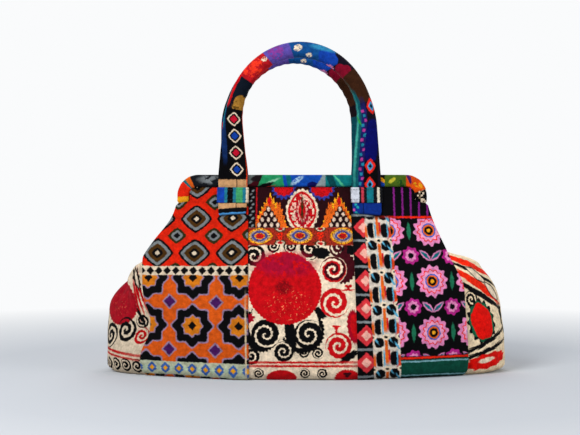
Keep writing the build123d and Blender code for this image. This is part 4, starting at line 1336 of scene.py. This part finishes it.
handle_velvet = {
    "front": velvet("velvet_front_handle", "#201A2A", handle_print(True)),
    "back": velvet("velvet_back_handle", "#261820", handle_print(False)),
}
keeper_velvet = {
    "left": velvet("velvet_left_keeper", "#2F7F92", [
        patch(ROYAL, -95, 211, 5, 14, power=8), patch(BLACK, -83, 211, 3.4, 14, power=8),
        patch("#4FA070", -72, 211, 4, 14, power=8), patch(CREAM, -62, 211, 2, 14, power=8),
    ]),
    "right": velvet("velvet_right_keeper", "#1A1C22", [
        patch("#C9CCD4", 66, 211, 5, 14, power=8), patch("#C24A5A", 75, 211, 1.6, 14, power=8),
        patch("#1F7F8A", 84, 211, 4, 14, power=8), patch("#D9D2C0", 94, 211, 1.6, 14, power=8),
    ]),
}
print("band and handle prints ready")

# %% [markdown]
# Inside are a black cotton lining and facing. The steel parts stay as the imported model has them
# and only get their finish.


# %% Plain materials
def plain(name, tint, roughness, metallic=0.0, weave=0.0):
    """A plain material: one tint with a slight unevenness, and a woven bump if it is cloth."""
    material = bpy.data.materials.new(name)
    material.use_nodes = True
    tree = material.node_tree
    tree.nodes.clear()
    place = add(tree, "ShaderNodeTexCoord").outputs["Object"]
    uneven = add(tree, "ShaderNodeTexNoise", place, None, 90.0, 4.0, 0.6).outputs[0]
    uneven = add(tree, "ShaderNodeMapRange", uneven, 0.3, 0.7, 0.82, 1.12).outputs[0]
    tinted = add(tree, VECTOR, colour(tint)[:3], None, None, uneven, operation="SCALE").outputs[0]
    surface = add(tree, "ShaderNodeBsdfPrincipled", tinted, metallic, roughness)
    if weave:
        threads = add(tree, "ShaderNodeTexNoise", place, None, 1600.0, 2.0, 0.5).outputs[0]
        bumped = add(tree, "ShaderNodeBump", weave, 0.0002, None, threads).outputs[0]
        tree.links.new(bumped, surface.inputs["Normal"])
    add(tree, "ShaderNodeOutputMaterial", surface.outputs[0])
    return material


# Dull and faintly woven, so that the inside stays dark and quiet
cotton = plain("black_cotton_lining", "#17161A", 0.9, weave=0.5)
# The frame and its rivets: a soft metal glint
steel = plain("zinc_plated_steel", "#A9ABAD", 0.38, metallic=1.0)
# Brighter and harder than the frame
magnet_metal = plain("nickel_plated_magnet", "#B8B6B0", 0.25, metallic=1.0)
# Flat grey fibre board under the lining
board = plain("grey_board", "#5E5A54", 0.95)
# Undyed filling of the rolls
cotton_cord = plain("cotton_cord", "#B7AD98", 0.95)
# Dark rows that hold the keepers
thread = plain("waxed_black_thread", "#1B1A20", 0.6)
print("plain materials ready")

# %% [markdown]
# Each cloth piece gets its print and stands for its plain solid. The ends, the bottom, the end
# linings, the band, the handles, their cords and the keepers move with their bodies; the walls,
# their linings and their facings keep their places.


def finish_piece(piece, material, slot, *nodes):
    """A piece's material and the nodes that it stands for. The slot is not used."""
    piece.data.materials.clear()
    piece.data.materials.append(material)
    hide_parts(*nodes)


def bend_with(piece):
    """A wall's piece keeps its place: its transform is baked into its mesh."""
    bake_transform(piece)


panel_velvet = {"middle": middle_velvet, "left": left_velvet, "right": right_velvet}
for (face, place), piece in panels.items():
    finish_piece(piece, panel_velvet[place], "printed_velvet", f"{face}_{place}_panel")
    bend_with(piece)
for place, piece in gussets.items():
    finish_piece(piece, end_velvet[place], "printed_velvet", f"{place}_gusset")
    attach(piece, "bag")
# The bottom cloth takes the black cotton. Its dark edge along the floor is partly a dark base and partly
# painted shade for the dark line under the bag
finish_piece(base, cotton, "printed_velvet", "base_cloth")
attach(base, "bag")
finish_piece(lining_bottom, cotton, "lining_cloth", "lining_floor")
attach(lining_bottom, "bag")
for face in ("front", "back"):
    finish_piece(linings[face], cotton, "lining_cloth", f"{face}_lining")
    bend_with(linings[face])
    finish_piece(facings[face], cotton, "lining_cloth", f"{face}_facing")
    bend_with(facings[face])
    finish_piece(wraps[face], band_velvet, "printed_velvet", f"{face}_frame_wrap")
    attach(wraps[face], f"{face}_half")
    finish_piece(handles[face], handle_velvet[face], "printed_velvet", f"{face}_handle_cover")
    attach(handles[face], f"{face}_half")
    finish_piece(cores[face], cotton_cord, "cord_filling", f"{face}_handle_core")
    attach(cores[face], f"{face}_half")
    for place in ("left", "right"):
        piece = keepers[face, place]
        finish_piece(piece, keeper_velvet[place], "printed_velvet", f"{face}_{place}_keeper")
        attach(piece, f"{face}_half")
for place in ("left", "right"):
    finish_piece(linings[place], cotton, "lining_cloth", f"{place}_lining_end")
    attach(linings[place], "bag")
for node, material in (("frame_bar", steel), ("magnet", magnet_metal)):
    for face in ("front", "back"):
        packed = frame["nodes"][f"{face}_{node}"]
        for slot in packed.material_slots:
            slot.material = material
for node, material in (("left_hinge_rivet", steel), ("right_hinge_rivet", steel), ("base_board", board)):
    for slot in frame["nodes"][node].material_slots:
        slot.material = material
for name, (width, length, area) in cut_sizes.items():
    print(f"{name}: cut {width * 1000:.0f} by {length * 1000:.0f} mm, {area * 1e4:.0f} cm2")
print("pieces placed:", len(panels) + len(gussets) + len(linings) + len(facings) + 10)

# %% [markdown]
# Stitches are one small node tree: it walks along a line, drops a short rounded thread at every
# step and turns it along the line. A seeded twist keeps them from looking machine-perfect.

# %% Stitches
GEOMETRY = "NodeSocketGeometry"
stitch_tree = bpy.data.node_groups.new("stitches", "GeometryNodeTree")
socket_of = {}
stitch_inputs = (
    ("Line", GEOMETRY, None), ("Step", FLOAT, 0.0032), ("Length", FLOAT, 0.0024),
    ("Thickness", FLOAT, 0.0005), ("Seed", "NodeSocketInt", 3), ("Thread", "NodeSocketMaterial", None),
)
for label, socket_type, value in stitch_inputs:
    made = stitch_tree.interface.new_socket(label, in_out="INPUT", socket_type=socket_type)
    if value is not None:
        made.default_value = value
    socket_of[label] = made.identifier
stitch_tree.interface.new_socket("Stitches", in_out="OUTPUT", socket_type=GEOMETRY)
given = add(stitch_tree, "NodeGroupInput").outputs
curve = add(stitch_tree, "GeometryNodeMeshToCurve", given["Line"]).outputs[0]
resample = add(stitch_tree, "GeometryNodeResampleCurve", curve)
resample.mode = "LENGTH"
stitch_tree.links.new(given["Step"], resample.inputs["Length"])
tangent = add(stitch_tree, "GeometryNodeInputTangent").outputs[0]
aligned = add(stitch_tree, "FunctionNodeAlignRotationToVector", axis="Z")
stitch_tree.links.new(tangent, aligned.inputs["Vector"])
twist = add(stitch_tree, "FunctionNodeRandomValue", data_type="FLOAT_VECTOR")
twist.inputs[0].default_value = (-0.10, -0.10, 0)
twist.inputs[1].default_value = (0.10, 0.10, 0)
stitch_tree.links.new(given["Seed"], twist.inputs["Seed"])
turned = add(stitch_tree, "FunctionNodeRotateRotation", aligned.outputs[0], rotation_space="LOCAL")
stitch_tree.links.new(twist.outputs[0], turned.inputs[1])
grain = add(stitch_tree, "GeometryNodeMeshUVSphere")
grain.inputs["Segments"].default_value = 8
grain.inputs["Rings"].default_value = 6
grain.inputs["Radius"].default_value = 0.5
shape = add(stitch_tree, "ShaderNodeCombineXYZ",
            given["Thickness"], given["Thickness"], given["Length"]).outputs[0]
dropped = add(stitch_tree, "GeometryNodeInstanceOnPoints")
for label, source in (("Points", resample.outputs[0]), ("Instance", grain.outputs[0]),
                      ("Rotation", turned.outputs[0]), ("Scale", shape)):
    stitch_tree.links.new(source, dropped.inputs[label])
real = add(stitch_tree, "GeometryNodeRealizeInstances", dropped.outputs[0])
dressed = add(stitch_tree, "GeometryNodeSetMaterial", real.outputs[0])
stitch_tree.links.new(given["Thread"], dressed.inputs["Material"])
add(stitch_tree, "NodeGroupOutput", dressed.outputs[0])


def stitched(name, lines, material, body):
    """Stitches along several lines, as one mesh that rides a body."""
    points = np.concatenate(lines)
    edges = []
    first = 0
    for line in lines:
        edges += [(first + k, first + k + 1) for k in range(len(line) - 1)]
        first += len(line)
    mesh = bpy.data.meshes.new(name + "_lines")
    mesh.from_pydata([tuple(p) for p in points * mm], edges, [])
    guide = bpy.data.objects.new(name + "_lines", mesh)
    bpy.context.scene.collection.objects.link(guide)
    modifier = guide.modifiers.new("stitches", "NODES")
    modifier.node_group = stitch_tree
    modifier[socket_of["Thread"]] = material
    modifier[socket_of["Seed"]] = len(lines)
    depsgraph = bpy.context.evaluated_depsgraph_get()
    made = bpy.data.meshes.new_from_object(guide.evaluated_get(depsgraph))
    made.name = name
    made.shade_smooth()
    bpy.data.objects.remove(guide)
    bpy.data.meshes.remove(mesh)
    piece = bpy.data.objects.new(name, made)
    bpy.context.scene.collection.objects.link(piece)
    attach(piece, body)
    return piece


stitch_inset = 1.7
for face in ("front", "back"):
    lines = []
    for side in (-1, 1):
        points, uv = keeper_grid(side)
        normals = grid_normals(points)
        raised = points + normals * 0.05
        if face == "back":
            raised[..., 1] *= -1
        rows = raised[:, 0, 2]
        for row in (int(np.argmin(np.abs(rows - rows.min() - stitch_inset))),
                    int(np.argmin(np.abs(rows.max() - stitch_inset - rows)))):
            lines.append(raised[row, 1:-1])
    stitched(f"{face}_keeper_stitches", lines, thread, f"{face}_half")
print("stitch lines on the keepers:", len(lines))

# %% [markdown]
# The view of the photograph: a level camera in front of the bag, a soft pale studio, and a floor
# that keeps only the bag's soft shadow before it fades into the white background.

# %% Studio
scene = bpy.context.scene
scene.view_settings.view_transform = "Standard"
camera_data = bpy.data.cameras.new("camera")
camera_data.lens = 75.97
camera_data.sensor_width = 36
camera = bpy.data.objects.new("camera", camera_data)
camera.location = (-0.0145, -1.481, 0.1836)
camera.rotation_euler = (pi / 2, 0, 0)
scene.collection.objects.link(camera)
scene.camera = camera

floor_mesh = bpy.data.meshes.new("floor")
floor_half = 6.0
floor_mesh.from_pydata([(-floor_half, -floor_half, 0), (floor_half, -floor_half, 0),
                        (floor_half, floor_half, 0), (-floor_half, floor_half, 0)], [], [(0, 1, 2, 3)])
floor = bpy.data.objects.new("floor", floor_mesh)
scene.collection.objects.link(floor)
background_tint = "#FAFBFC"
pale = bpy.data.materials.new("white_studio_floor")
pale.use_nodes = True
tree = pale.node_tree
tree.nodes.clear()
matt = add(tree, "ShaderNodeBsdfDiffuse", colour("#C6CACF"))
glow = add(tree, "ShaderNodeEmission", colour(background_tint), 1.0)
spot = add(tree, "ShaderNodeTexCoord").outputs["Object"]
far = add(tree, VECTOR, spot, operation="LENGTH").outputs["Value"]
far = add(tree, "ShaderNodeMapRange", far, 0.42, 1.1, 0.0, 1.0).outputs[0]
ground = add(tree, "ShaderNodeMixShader", far, matt.outputs[0], glow.outputs[0])
add(tree, "ShaderNodeOutputMaterial", ground.outputs[0])
floor_mesh.materials.append(pale)

world = bpy.data.worlds.new("studio")
scene.world = world
world.use_nodes = True
tree = world.node_tree
tree.nodes.clear()
seen = add(tree, "ShaderNodeLightPath").outputs
straight = add(tree, MATH, seen["Is Camera Ray"], seen["Is Glossy Ray"], operation="MAXIMUM").outputs[0]
straight = add(tree, MATH, straight, seen["Is Transmission Ray"], operation="MAXIMUM").outputs[0]
backdrop = add(tree, "ShaderNodeBackground", colour(background_tint), 1.0)
fill = add(tree, "ShaderNodeBackground", colour("#EEF2F8"), 0.42)
both = add(tree, "ShaderNodeMixShader", straight, fill.outputs[0], backdrop.outputs[0])
add(tree, "ShaderNodeOutputWorld", both.outputs[0])


def softbox(name, place, target, size, power):
    """A square area lamp aimed at a point."""
    data = bpy.data.lights.new(name, "AREA")
    data.size = size
    data.energy = power
    lamp = bpy.data.objects.new(name, data)
    lamp.location = place
    aim = np.array(target) - np.array(place)
    lamp.rotation_euler = (atan2(float(np.hypot(aim[0], aim[1])), -float(aim[2])), 0,
                           atan2(float(aim[1]), float(aim[0])) - pi / 2)
    scene.collection.objects.link(lamp)


softbox("key_softbox", (-1.0, -1.3, 1.5), (0, 0, 0.15), 0.9, 33)
softbox("side_softbox", (1.6, -0.9, 0.9), (0, 0, 0.15), 1.0, 9)
softbox("back_softbox", (0.2, 1.4, 1.6), (0, 0, 0.2), 1.4, 14)
print("studio ready")
